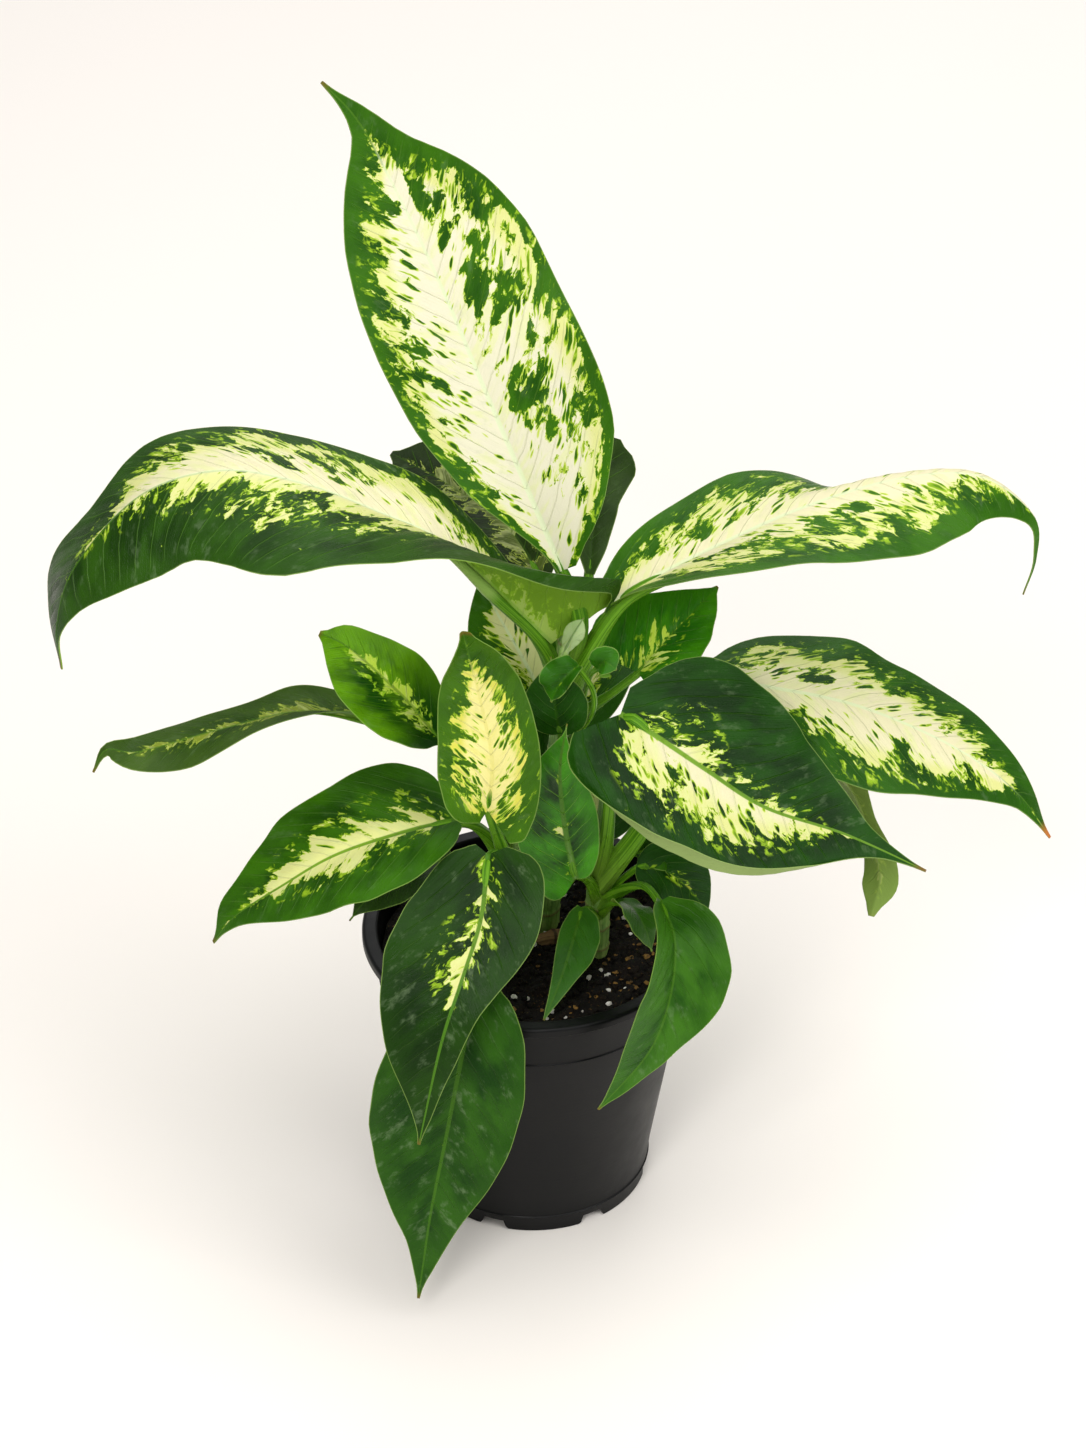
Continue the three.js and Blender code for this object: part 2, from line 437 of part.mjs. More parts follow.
// A closed round bar along a curve, whose radius is radiusAt(0..1), run on by extra at its ends.
function taperedBar(curve, radiusAt, steps, sides, extra) {
  const frames = curve.computeFrenetFrames(steps, false);
  const points = [];
  const triangles = [];
  for (let i = 0; i <= steps; i += 1) {
    const runOn = i === 0 ? -extra : (i === steps ? extra : 0);
    const centre = curve.getPointAt(i / steps).addScaledVector(frames.tangents[i], runOn);
    for (let k = 0; k < sides; k += 1) {
      const angle = (k / sides) * 2 * Math.PI;
      points.push(centre.clone()
        .addScaledVector(frames.normals[i], Math.cos(angle) * radiusAt(i / steps))
        .addScaledVector(frames.binormals[i], Math.sin(angle) * radiusAt(i / steps)));
    }
  }
  for (let i = 0; i < steps; i += 1) {
    for (let k = 0; k < sides; k += 1) {
      const a = i * sides + k;
      const b = i * sides + ((k + 1) % sides);
      triangles.push([a, b, b + sides], [a, b + sides, a + sides]);
    }
  }
  const last = steps * sides;
  for (let k = 1; k < sides - 1; k += 1) {
    triangles.push([0, k + 1, k], [last, last + k, last + k + 1]);
  }
  return meshOf(points, triangles);
}

// A bar between two radii, with a step about every STALK_STEP millimetres.
function stalkSolid(points, [start, end], extra) {
  const curve = smoothLine(points);
  const steps = Math.max(4, Math.round(curve.getLength() / STALK_STEP));
  const radiusAt = (u) => start + (end - start) * Math.min(1, u * STALK_TAPER) + extra;
  return solidOf(taperedBar(curve, radiusAt, steps, STALK_SIDES, extra));
}

// Half width of a blade at s along its rib, as a share of the widest.
function outline(s, [fullest, base, taper, tail]) {
  if (s < fullest) {
    return (1 - (1 - s / fullest) ** 2) ** base;
  }
  const q = (s - fullest) / (1 - fullest);
  const body = Math.max(0, Math.cos(Math.min(1, q / BODY_END) * Math.PI / 2)) ** taper;
  return (1 - tail) * body + tail * (1 - q);
}

// Half width of one side at s, straight between its points and eased a little over each of them.
function edgeAt(points, s) {
  const widthAt = (share) => {
    const next = Math.max(1, points.findIndex(([at]) => at >= share));
    const [[from, start], [to, end]] = [points[next - 1], points[next]];
    return start + (end - start) * ((share - from) / (to - from));
  };
  const [before, after] = [Math.max(0, s - EDGE_SOFTNESS), Math.min(1, s + EDGE_SOFTNESS)];
  return (widthAt(before) + 2 * widthAt(s) + widthAt(after)) / 4;
}

// Half widths of both sides at s, and the wider one as a share of the blade's widest.
function widthsAt(leaf, s) {
  if (!leaf.edges) {
    const share = outline(s, leaf.shape);
    return { widths: leaf.wide.map((wide) => wide * share), share };
  }
  const widths = leaf.edges.map((points) => edgeAt(points, s));
  const widest = Math.max(...leaf.edges.flat().map(([, width]) => width));
  return { widths, share: Math.max(...widths) / widest };
}

// How much a rolled margin takes from the level reach and from the rise of a point.
function rollAt({ roll }, side, s, t, width, angle) {
  if (!roll || roll[0] !== side) {
    return [0, 0];
  }
  const [, start, degrees, first, last] = roll;
  const beyond = Math.max(0, Math.abs(t) - start) * width;
  const stretch = Math.min(1, Math.max(0, (s - first) / (last - first)));
  const most = THREE.MathUtils.degToRad(degrees) * Math.sin(Math.PI * stretch) ** 2;
  const turned = angle + most * Math.min(1, beyond / ROLL_BEND);
  return [beyond * (Math.cos(angle) - Math.cos(turned)), beyond * (Math.sin(angle) - Math.sin(turned))];
}

// Directions at s along a blade: ahead along the rib, out to its right, and up from its face.
function bladeFrame(leaf, curve, s) {
  const ahead = curve.getTangentAt(s);
  const up = new THREE.Vector3(...[0, 1, 2].map((axis) => along(leaf.face.map((way) => way[axis]), s)));
  up.addScaledVector(ahead, -up.dot(ahead)).normalize();
  return { ahead, up, out: new THREE.Vector3().crossVectors(ahead, up) };
}

// A point of a blade's upper face: s from base to tip, t from -1 at the left edge to 1 at the right.
function bladePoint(leaf, curve, s, t, extra) {
  const { ahead, up, out } = bladeFrame(leaf, curve, s);
  const side = t < 0 ? 0 : 1;
  const { widths, share } = widthsAt(leaf, s);
  const width = Math.max(NARROWEST, widths[side]) + extra;
  const across = Math.abs(t) * width;
  const rise = along(leaf.fold[side], s) + leaf.curl[side] * Math.abs(t) / 2;
  const angle = THREE.MathUtils.degToRad(rise);
  const [height, count, phase] = leaf.wave;
  const wave = height * t * t * share * Math.sin(2 * Math.PI * (count * s + phase + side * SIDE_PHASE));
  const lobe = Array.isArray(leaf.lobe) ? leaf.lobe[side] : leaf.lobe;
  const back = lobe * Math.abs(t) * share * Math.max(0, 1 - s / LOBE_LENGTH) ** 1.5;
  const [inward, downward] = rollAt(leaf, side, s, t, width, angle);
  const runOn = s === 0 ? -extra : (s === 1 ? extra : 0);
  return curve.getPointAt(s)
    .addScaledVector(out, Math.sign(t) * (across * Math.cos(angle) - inward))
    .addScaledVector(up, across * Math.sin(angle) - downward + wave)
    .addScaledVector(ahead, runOn - back);
}

// Steps along a blade, closer together at its rounded base.
function bladeRows(curve) {
  const count = Math.min(ROWS_AT_MOST, Math.max(ROWS_AT_LEAST, Math.round(curve.getLength() / ROW_LENGTH)));
  return Array.from({ length: count + 1 }, (_, i) => (i / count) ** ROW_CROWDING);
}

// Places across a blade where it is divided, with two more where a margin turns over near its edge.
function bladeColumns({ roll }) {
  if (!roll || roll[1] < -BLADE_COLUMNS[1]) {
    return BLADE_COLUMNS;
  }
  const sign = roll[0] ? 1 : -1;
  return [...BLADE_COLUMNS, sign * roll[1], sign * ROLL_LIP].sort((a, b) => a - b);
}

// A thin closed blade. Its two faces are divided alike, and its underside is keeled at the rib.
function bladeSolid(leaf, extra) {
  const curve = smoothLine(leaf.rib);
  const rows = bladeRows(curve);
  const places = bladeColumns(leaf);
  const columns = places.length;
  const upper = rows.map((s) => places.map((t) => bladePoint(leaf, curve, s, t, extra)));
  const top = [];
  const bottom = [];
  rows.forEach((s, i) => places.forEach((t, j) => {
    const ahead = upper[Math.min(i + 1, upper.length - 1)][j].clone().sub(upper[Math.max(i - 1, 0)][j]);
    const across = upper[i][Math.min(j + 1, columns - 1)].clone().sub(upper[i][Math.max(j - 1, 0)]);
    const normal = across.cross(ahead).normalize();
    const keel = t === 0 ? leaf.stem[1] * 0.7 * (1 - s) : 0;
    top.push(upper[i][j].clone().addScaledVector(normal, extra));
    bottom.push(upper[i][j].clone().addScaledVector(normal, -BLADE - keel - extra));
  }));
  const triangles = [];
  const under = top.length;
  const quad = (a, b, c, d) => triangles.push([a, b, c], [a, c, d]);
  for (let i = 0; i < rows.length - 1; i += 1) {
    for (let j = 0; j < columns - 1; j += 1) {
      const a = i * columns + j;
      quad(a, a + 1, a + columns + 1, a + columns);
      triangles.push([under + a, under + a + columns + 1, under + a + 1]);
      triangles.push([under + a, under + a + columns, under + a + columns + 1]);
    }
    const left = i * columns;
    const right = left + columns - 1;
    quad(left, left + columns, under + left + columns, under + left);
    quad(right, under + right, under + right + columns, right + columns);
  }
  const tip = (rows.length - 1) * columns;
  for (let j = 0; j < columns - 1; j += 1) {
    quad(j, under + j, under + j + 1, j + 1);
    quad(tip + j, tip + j + 1, under + tip + j + 1, under + tip + j);
  }
  return solidOf(meshOf([...top, ...bottom], triangles));
}

// The point of a cane's middle line at a height.
function caneAt({ line }, height) {
  const above = line.findIndex((point) => point[2] >= height);
  const [low, high] = [line[above - 1], line[above]];
  const share = (height - low[2]) / (high[2] - low[2]);
  return low.map((value, axis) => value + (high[axis] - value) * share);
}

// A leaf: the stalk from its cane, run on a little way under the rib, and the blade.
function leafSolid(leaf, extra) {
  const curve = smoothLine(leaf.rib);
  const { up } = bladeFrame(leaf, curve, STALK_OVERLAP);
  const joint = curve.getPointAt(0.02).addScaledVector(up, -leaf.stem[1] * 0.6);
  const end = curve.getPointAt(STALK_OVERLAP).addScaledVector(up, -leaf.stem[1] * 0.5);
  const root = caneAt(CANES[leaf.cane], leaf.height);
  const route = [root, ...leaf.stalk, joint.toArray(), end.toArray()];
  const radii = [leaf.stem[0], leaf.stem[1] * 0.8];
  return stalkSolid(route, radii, extra).add(bladeSolid(leaf, extra));
}

// A cane with a low ring at each leaf scar.
function caneSolid({ line, radius: [foot, top], scars }, extra) {
  const curve = smoothLine(line);
  const length = curve.getLength();
  const steps = Math.round(length / scars) * 2;
  const radiusAt = (u) => foot + (top - foot) * u + extra + (Math.round(u * steps) % 2 ? SCAR_HEIGHT : 0);
  return solidOf(taperedBar(curve, radiusAt, steps, CANE_SIDES, extra));
}

// The pot's wall from its skirt to its lip, hollow under the lip and raised over a drain channel.
function potProfile() {
  const lineUp = (radius, height) => [
    [radius - 0.1, height - LINE_SIZE], [radius + LINE_SIZE, height], [radius + 0.1, height + LINE_SIZE]];
  return [
    [0, 0], [FLOOR_RADIUS, 0], [FLOOR_RADIUS + CHANNEL_SLANT, CHANNEL_HEIGHT], [CHANNEL_RADIUS, CHANNEL_HEIGHT],
    [CHANNEL_RADIUS, 0], [SKIRT_RADIUS, 0],
    ...lineUp(FOOT_RADIUS, FOOT_HEIGHT), ...lineUp(BAND_RADIUS, BAND_HEIGHT),
    [WALL_TOP_RADIUS, POT_HEIGHT - WALL], [LIP_RADIUS - WALL, POT_HEIGHT - WALL],
    [LIP_RADIUS - WALL, POT_HEIGHT - LIP_DROP], [LIP_RADIUS, POT_HEIGHT - LIP_DROP],
    [LIP_RADIUS, POT_HEIGHT - LIP_ROUNDING], [LIP_RADIUS - LIP_ROUNDING, POT_HEIGHT],
    [WALL_TOP_RADIUS - WALL + LIP_ROUNDING, POT_HEIGHT],
    [WALL_TOP_RADIUS - WALL, POT_HEIGHT - LIP_ROUNDING], [BAND_RADIUS - WALL, BAND_HEIGHT],
    [FOOT_RADIUS - WALL, FOOT_HEIGHT], [CHANNEL_RADIUS, CHANNEL_HEIGHT + WALL],
    [FLOOR_RADIUS, CHANNEL_HEIGHT + WALL], [FLOOR_RADIUS - CHANNEL_SLANT, WALL], [0, WALL],
  ];
}

function turned(profile, sides) {
  const points = profile.map(([radius, height]) => new THREE.Vector2(radius, height));
  return new THREE.LatheGeometry(points, sides).rotateX(Math.PI / 2);
}

// A bar that cuts one drain notch through the skirt, narrower at its top than on the floor.
function notchSolid(angle) {
  const half = NOTCH_WIDTH / 2;
  const shape = new THREE.Shape([
    [-half, -1], [half, -1], [half - NOTCH_SLANT, NOTCH_HEIGHT], [-half + NOTCH_SLANT, NOTCH_HEIGHT],
  ].map(([x, y]) => new THREE.Vector2(x, y)));
  const cutter = new THREE.ExtrudeGeometry(shape, { depth: NOTCH_DEPTH, bevelEnabled: false });
  cutter.rotateX(Math.PI / 2).translate(0, NOTCH_DEPTH / 2 - SKIRT_RADIUS, 0).rotateZ(angle);
  return solidOf(cutter);
}

function drainSolid(angle) {
  const radius = (FLOOR_RADIUS + CHANNEL_SLANT + CHANNEL_RADIUS) / 2;
  const cutter = new THREE.BoxGeometry(DRAIN_WIDTH, DRAIN_LENGTH, WALL * 3);
  cutter.translate(0, -radius, CHANNEL_HEIGHT + WALL / 2).rotateZ(angle);
  return solidOf(cutter);
}

function potSolid() {
  let pot = solidOf(turned(potProfile(), POT_SIDES));
  for (let i = 0; i < NOTCHES; i += 1) {
    const angle = THREE.MathUtils.degToRad(NOTCH_ANGLE + (360 / NOTCHES) * i);
    pot = pot.subtract(notchSolid(angle)).subtract(drainSolid(angle));
  }
  return pot;
}

// Soil that fills the pot to a little under its rim, with a lumpy top.
function soilSolid() {
  const slope = (BAND_RADIUS - FOOT_RADIUS) / (BAND_HEIGHT - FOOT_HEIGHT);
  const wallAt = (height) => FOOT_RADIUS - WALL - GAP * 2 + slope * (height - FOOT_HEIGHT);
  const bed = CHANNEL_HEIGHT + WALL + GAP;
  const edge = wallAt(SOIL_HEIGHT) - SOIL_EDGE;
  const rings = [...SOIL_RINGS].reverse().map((radius) => [radius, SOIL_HEIGHT]);
  const profile = [
    [0, bed], [wallAt(bed) - SOIL_CORNER, bed], [wallAt(bed + SOIL_CORNER), bed + SOIL_CORNER],
    [edge, SOIL_HEIGHT - SOIL_SAG], ...rings, [0, SOIL_HEIGHT]];
  const geometry = turned(profile, SOIL_SIDES);
  const place = geometry.attributes.position;
  for (let i = 0; i < place.count; i += 1) {
    if (place.getZ(i) > SOIL_HEIGHT - 1) {
      const x = place.getX(i);
      const y = place.getY(i);
      const lumps = Math.sin(x * 0.21 + 1) * Math.cos(y * 0.19) + 0.6 * Math.sin(x * 0.45 - y * 0.37);
      place.setZ(i, SOIL_HEIGHT + SOIL_BUMP * lumps);
    }
  }
  return solidOf(geometry);
}

function overlaps(a, b) {
  const [first, second] = [a.boundingBox(), b.boundingBox()];
  return [0, 1, 2].every((axis) => first.min[axis] < second.max[axis] && second.min[axis] < first.max[axis]);
}

// A solid cut clear of every solid in the list that its box meets.
function clearOf(solid, others) {
  const near = others.filter((other) => overlaps(solid, other));
  return near.length ? largestBody(near.reduce((rest, other) => rest.subtract(other), solid)) : solid;
}

const plant = new THREE.Group();

function addPiece(name, solid, color, roughness) {
  const material = new THREE.MeshStandardMaterial({ color, roughness, metalness: 0 });
  const mesh = new THREE.Mesh(geometryOf(solid), material);
  mesh.name = name;
  plant.add(mesh);
}

addPiece("pot", potSolid(), COLOURS.pot, 0.45);
const cut = Object.values(CANES).map((cane) => caneSolid(cane, GAP));
addPiece("dry_stub", clearOf(caneSolid(STUB, 0), cut), COLOURS.stub, 0.9);
cut.push(caneSolid(STUB, GAP));
addPiece("soil", clearOf(soilSolid(), cut), COLOURS.soil, 0.95);
for (const [name, cane] of Object.entries(CANES)) {
  addPiece(name, caneSolid(cane, 0), COLOURS.stem, 0.5);
}
for (const [name, leaf] of Object.entries(LEAVES)) {
  addPiece(name, clearOf(leafSolid(leaf, 0), cut), COLOURS.leaf, 0.4);
  cut.push(leafSolid(leaf, GAP));
}

export default plant;
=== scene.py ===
# A potted dieffenbachia: cream-blotched leaves on arching stalks, in a black nursery pot of soil.
# Lengths in the dictionaries are millimetres, and metres in the studio's. The objects are metres, +Z up.
import math
import random
import bpy
import numpy as np
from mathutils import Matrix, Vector, noise


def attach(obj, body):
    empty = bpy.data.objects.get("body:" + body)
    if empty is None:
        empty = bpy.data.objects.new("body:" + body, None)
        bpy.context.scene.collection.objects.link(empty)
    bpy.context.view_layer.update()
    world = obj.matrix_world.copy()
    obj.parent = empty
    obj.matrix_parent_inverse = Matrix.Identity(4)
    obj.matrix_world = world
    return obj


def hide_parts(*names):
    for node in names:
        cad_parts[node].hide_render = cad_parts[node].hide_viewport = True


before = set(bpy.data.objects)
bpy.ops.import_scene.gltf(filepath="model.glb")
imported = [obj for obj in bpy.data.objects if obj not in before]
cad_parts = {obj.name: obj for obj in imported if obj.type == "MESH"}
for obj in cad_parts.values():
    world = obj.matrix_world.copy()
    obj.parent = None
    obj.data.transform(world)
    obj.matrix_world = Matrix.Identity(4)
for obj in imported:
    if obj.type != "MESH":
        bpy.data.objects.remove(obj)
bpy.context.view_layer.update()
scene = bpy.context.scene
mm = 0.001


# A shader value that takes + - * / like a number. What it meets may be a number or another one.
class Shade:
    def __init__(self, socket):
        self.socket = socket

    def __add__(self, other):
        return reckon("ADD", self, other)

    def __sub__(self, other):
        return reckon("SUBTRACT", self, other)

    def __rsub__(self, other):
        return reckon("SUBTRACT", other, self)

    def __mul__(self, other):
        return reckon("MULTIPLY", self, other)

    def __truediv__(self, other):
        return reckon("DIVIDE", self, other)


def setInput(socket, value):
    if isinstance(value, Shade):
        socket.id_data.links.new(value.socket, socket)
    else:
        socket.default_value = value


def setInputs(node, values):
    for name, value in values.items():
        setInput(node.inputs[name], value)


def newNode(tree, kind, inputs=(), **settings):
    node = tree.nodes.new(kind)
    for key, value in settings.items():
        setattr(node, key, value)
    for place, value in enumerate(inputs):
        setInput(node.inputs[place], value)
    return node


def treeOf(*values):  # the node tree of the first shader value among them
    return next(value.socket.id_data for value in values if isinstance(value, Shade))


def reckon(operation, *values):
    return Shade(newNode(treeOf(*values), "ShaderNodeMath", values, operation=operation).outputs[0])


def vectors(operation, *values):
    return Shade(newNode(treeOf(*values), "ShaderNodeVectorMath", values, operation=operation).outputs[0])


def vectorOf(*values):
    return Shade(newNode(treeOf(*values), "ShaderNodeCombineXYZ", values).outputs[0])


def partsOf(value, kind="ShaderNodeSeparateXYZ"):
    return [Shade(socket) for socket in newNode(treeOf(value), kind, (value,)).outputs]


def between(value, low, high, start=0.0, end=1.0):  # smooth step from start to end
    values = (value, low, high, start, end)
    node = newNode(treeOf(value), "ShaderNodeMapRange", values, interpolation_type="SMOOTHSTEP")
    return Shade(node.outputs[0])


def blendColours(share, a, b):
    node = newNode(treeOf(share, a, b), "ShaderNodeMix", data_type="RGBA")
    for place, value in ((0, share), (6, a), (7, b)):
        setInput(node.inputs[place], value)
    return Shade(node.outputs[2])


def noiseOf(place, scale=1.0, detail=2.0, rough=0.5, output="Fac"):
    node = newNode(treeOf(place), "ShaderNodeTexNoise", noise_dimensions="3D")
    setInputs(node, {"Vector": place, "Scale": scale, "Detail": detail, "Roughness": rough})
    return Shade(node.outputs[output])


def attributeOf(tree, name, kind="Vector"):
    return Shade(newNode(tree, "ShaderNodeAttribute", attribute_name=name).outputs[kind])


def placeOf(tree):
    return Shade(newNode(tree, "ShaderNodeTexCoord").outputs["Object"])


def rgb(*channels):  # a screen colour of 0 to 255 as a shader colour
    linear = [(c / 255 / 12.92) if c < 11 else ((c / 255 + 0.055) / 1.055) ** 2.4 for c in channels]
    return (*linear, 1.0)


def newMaterial(name):
    material = bpy.data.materials.new(name)
    material.use_nodes = True
    tree = material.node_tree
    return material, tree, tree.nodes["Principled BSDF"]


def setFinish(shader, colour, rough, shine, relief=None, strength=0.0, distance=0.0):
    setInputs(shader, {"Base Color": colour, "Roughness": rough, "Specular IOR Level": shine})
    if relief:
        bump = newNode(treeOf(relief), "ShaderNodeBump")
        setInputs(bump, {"Strength": strength, "Distance": distance * mm, "Height": relief})
        setInputs(shader, {"Normal": Shade(bump.outputs[0])})


# Meshes from numpy arrays, in millimetres.
def newPiece(name, points, faces, material, attributes=(), sharp=40, bakeMap=None):
    mesh = bpy.data.meshes.new(name)
    mesh.from_pydata((np.asarray(points, float) * mm).tolist(), [], faces)
    mesh.validate()
    for key, values in dict(attributes).items():
        values = np.asarray(values, np.float32)
        kind, field = ("FLOAT_VECTOR", "vector") if values.ndim == 2 else ("FLOAT", "value")
        mesh.attributes.new(key, kind, "POINT").data.foreach_set(field, values.ravel())
    if bakeMap is not None:
        corner = np.zeros(len(mesh.loops), np.int32)
        mesh.loops.foreach_get("vertex_index", corner)
        mesh.uv_layers.new(name="OFBake").data.foreach_set("uv", bakeMap[corner].astype(np.float32).ravel())
    mesh.shade_smooth()
    mesh.set_sharp_from_angle(angle=math.radians(sharp))
    mesh.materials.append(material)
    piece = bpy.data.objects.new(name, mesh)
    scene.collection.objects.link(piece)
    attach(piece, "root")
    return piece


def gridFaces(rows, columns, first=0, around=False):
    faces = []
    for i in range(rows - 1):
        for j in range(columns if around else columns - 1):
            a = first + i * columns + j
            b = first + i * columns + (j + 1) % columns
            faces.append((a, b, b + columns, a + columns))
    return faces


def capFaces(rows, sides, first=0):  # the closed ends of a tube: the first ring turned over, then the last
    last = first + (rows - 1) * sides
    return [tuple(range(first + sides - 1, first - 1, -1)), tuple(range(last, last + sides))]


def turnsOf(sides, start=0.0):  # the angles of a ring's points
    return np.linspace(start, start + 2 * math.pi, sides, endpoint=False)


# The canes, from the soil up, and the dry stub of an old one. Leaves start on them.
caneGreen = {"green": rgb(104, 152, 62), "light": rgb(158, 192, 104), "dark": rgb(70, 112, 44),
             "foot": rgb(150, 160, 90), "scar": rgb(122, 116, 66), "gloss": 0.4}
canes = {
    "cane_main": {
        "name": "mainCane", "node": "cane_main", "slot": "cane", "radius": [7.4, 5.2], "scars": 15,
        "line": [[4, 14, 92], [6, 12, 150], [12, 9, 220], [17, 7, 294]], "steps": 200, "sides": 36,
        "look": caneGreen,
    },
    "cane_left": {
        "name": "leftCane", "node": "cane_left", "slot": "cane", "radius": [6.4, 4.6], "scars": 14,
        "line": [[-13, -14, 92], [-12, -18, 150], [-9, -24, 212]], "steps": 120, "sides": 32,
        "look": caneGreen,
    },
    "cane_right": {
        "name": "rightCane", "node": "cane_right", "slot": "cane", "radius": [6.6, 4.8], "scars": 13,
        "line": [[27, -3, 92], [29, -8, 150], [30, -14, 190]], "steps": 100, "sides": 32,
        "look": caneGreen,
    },
}
stub = {"name": "dryStub", "node": "dry_stub", "slot": "dry_stub", "radius": [4.6, 2.6], "scars": 9,
        "line": [[16, 5, 125], [8, 1, 128], [0, -2, 127]], "steps": 40, "sides": 24,
        "look": {"green": rgb(122, 88, 54), "light": rgb(172, 136, 92), "dark": rgb(70, 46, 28),
                 "foot": rgb(60, 42, 28), "scar": rgb(52, 34, 22), "gloss": 0.7}}

# What all leaves share: the mesh, then what a leaf's own row may leave out, then the look, of which a row
# gives only what differs. In a row "stem" is the stalk's radius at its foot and at the blade. At base,
# middle and tip, "face" is the way the blade looks and "fold" the lift of its sides in degrees. At shares
# of the length, "edges" gives the sides' widths and "cream" how far out the cream reaches. What is the
# same at all places or on both sides is given once.
creamRib = {"rib": rgb(214, 228, 184), "ribShows": 0.7, "ribUnder": rgb(140, 176, 84)}
leafCommon = {
    "rowStep": 2.2, "rows": (26, 130), "rowCrowding": 1.2, "columnStep": 1.9, "columns": (9, 28),
    "columnCrowding": 1.1, "thick": 0.75, "thin": 0.32, "groove": 0.3, "grooveWidth": 1.8,
    "narrowest": 0.3, "ripple": 0.5, "stalkSides": 20, "stalkStep": 3, "ribStep": 5, "channel": 0.25,
    "wing": 0.2,
    "row": {"slot": "leaf_green", "curl": [0, 0], "wave": [1.5, 2, 0.2], "lobe": 2, "slant": 1, "veinGap": 9,
            "puff": 0.4, "ribWidth": 0.3, "cream": [(0, -0.6), (1, -0.6)]},
    "look": {
        # greens, creams, veins, the fine hairs along them, and painted shade towards the base
        "dark": rgb(24, 70, 0), "mid": rgb(52, 104, 3), "cloudSize": 18, "edgeLight": 0.5,
        "edgeLightWidth": 14, "deepBase": 0, "veinGreen": rgb(84, 132, 34), "veinShows": 0.38,
        "cream": rgb(225, 219, 180), "creamEdge": rgb(214, 216, 140), "heartFrom": 0.25,
        "creamWash": rgb(216, 224, 150), "wash": 0.5, "creamLine": rgb(206, 214, 158), "creamVeins": 0.3,
        "hairScale": (1.1, 0.033, 1), "hairsShow": 0.2, "creamHairs": 0.25,
        # midrib, stalk, margin, tip, underside, and pale dust marks that are partly painted sheen
        "rib": rgb(96, 138, 40), "ribDark": rgb(70, 116, 24), "ribShows": 0.6, "ribUnder": rgb(92, 138, 34),
        "stalk": rgb(50, 104, 2), "stalkLight": rgb(116, 170, 38), "stalkFoot": rgb(134, 166, 66),
        "margin": rgb(140, 170, 84), "marginShows": 0.6, "burnt": rgb(112, 88, 34), "burntFrom": 0.97,
        "under": rgb(92, 132, 30), "underShows": 0.6, "dust": rgb(128, 152, 112), "dusty": 0.15,
        "dustScale": 0.11,
        # the layout of the cream: its seed, bends, green blotches and specks in it, cream flecks outside
        "seed": 0, "sideSeed": 7.4, "bendScale": (0.16, 0.12, 1), "lean": 0.75, "wander": 6, "fade": 0.6,
        "greenEdge": 9, "contrast": 2.2, "clearHeart": 0.5, "clearRib": 3, "blotchSize": (15, 16),
        "blotchFrom": (0.66, 0.66), "lace": 0.9, "laceSize": (5, 5), "specksFrom": 0.5,
        "speckSize": (3.2, 5.6), "speckWide": 0.85, "flecksFrom": 0.66, "fleckReach": 0.25,
        "fleckSize": (5, 4.5), "halo": rgb(190, 208, 84), "rim": rgb(146, 184, 34), "rimShows": 0.9,
        "rimReach": 0.07,
        # gloss, light through the blade and relief
        "gloss": 0.3, "underDull": 0.14, "shine": 0.13, "glow": 0, "glowReach": (0.6, 1.0, 0.25),
        "glowDepth": 1.5, "relief": 0.75, "reliefHeight": 0.4, "veinRelief": 0.9, "hairRelief": 0.6,
        "grainRelief": 0.5,
    },
}


# Lines and blades. The curves, widths and folds are those of the solid leaves, with finer steps.
def smoothLine(points):  # a curve through the points in 400 steps, and its running length
    p = np.array(points, float)
    p = np.vstack([2 * p[:1] - p[1:2], p, 2 * p[-1:] - p[-2:-1]])
    t = np.linspace(0, len(points) - 1, 401)
    i = np.minimum(t.astype(int), len(points) - 2)
    u = (t - i)[:, None]
    before, start, end, after = p[i], p[i + 1], p[i + 2], p[i + 3]
    place = (2 * u**3 - 3 * u**2 + 1) * start + (3 * u**2 - 2 * u**3) * end
    place += (u**3 - 2 * u**2 + u) * (end - before) / 2 + (u**3 - u**2) * (after - start) / 2
    return place, runOf(place)


def runOf(place):
    return np.concatenate([[0], np.cumsum(np.linalg.norm(np.diff(place, axis=0), axis=1))])


def lineAt(line, shares):
    place, run = line
    return np.stack([np.interp(np.asarray(shares) * run[-1], run, place[:, k]) for k in range(3)], -1)


def unit(ways):
    return ways / np.linalg.norm(ways, axis=-1, keepdims=True)


def headings(line, shares, reach=0.003):
    return unit(lineAt(line, np.minimum(shares + reach, 1)) - lineAt(line, np.maximum(shares - reach, 0)))


def along(three, s):  # blend of the values at base, middle and tip
    base, middle, tip = three
    return base * (1 - s) * (1 - 2 * s) + middle * 4 * s * (1 - s) + tip * s * (2 * s - 1)


def stepUp(value, low, high):  # 0 below low, 1 above high, smooth between
    x = np.clip((value - low) / (high - low), 0, 1)
    return x * x * (3 - 2 * x)


def bulge(value, middle, width):  # 1 at the middle, falling off on both sides
    return np.exp(-(((value - middle) / width) ** 2))


def faceFrame(leaf, line, s):
    ahead = headings(line, s)
    up = np.stack([along([way[k] for way in leaf["face"]], s) for k in range(3)], -1)
    up = unit(up - ahead * np.sum(up * ahead, axis=-1, keepdims=True))
    return ahead, up, np.cross(ahead, up)


def bladeOutline(s, shape, bodyEnd=0.93):
    fullest, base, taper, tail = shape
    rising = (1 - (1 - np.minimum(s / fullest, 1)) ** 2) ** base
    q = np.clip((s - fullest) / (1 - fullest), 0, 1)
    body = np.maximum(0, np.cos(np.minimum(1, q / bodyEnd) * math.pi / 2)) ** taper
    return np.where(s < fullest, rising, (1 - tail) * body + tail * (1 - q))


def edgeAt(points, s):  # width of one side along the leaf: straight between its points, then eased
    at, width = np.array(points, float).T
    return sum(part * np.interp(np.clip(s + shift, 0, 1), at, width)
               for part, shift in ((0.25, -0.03), (0.5, 0), (0.25, 0.03)))


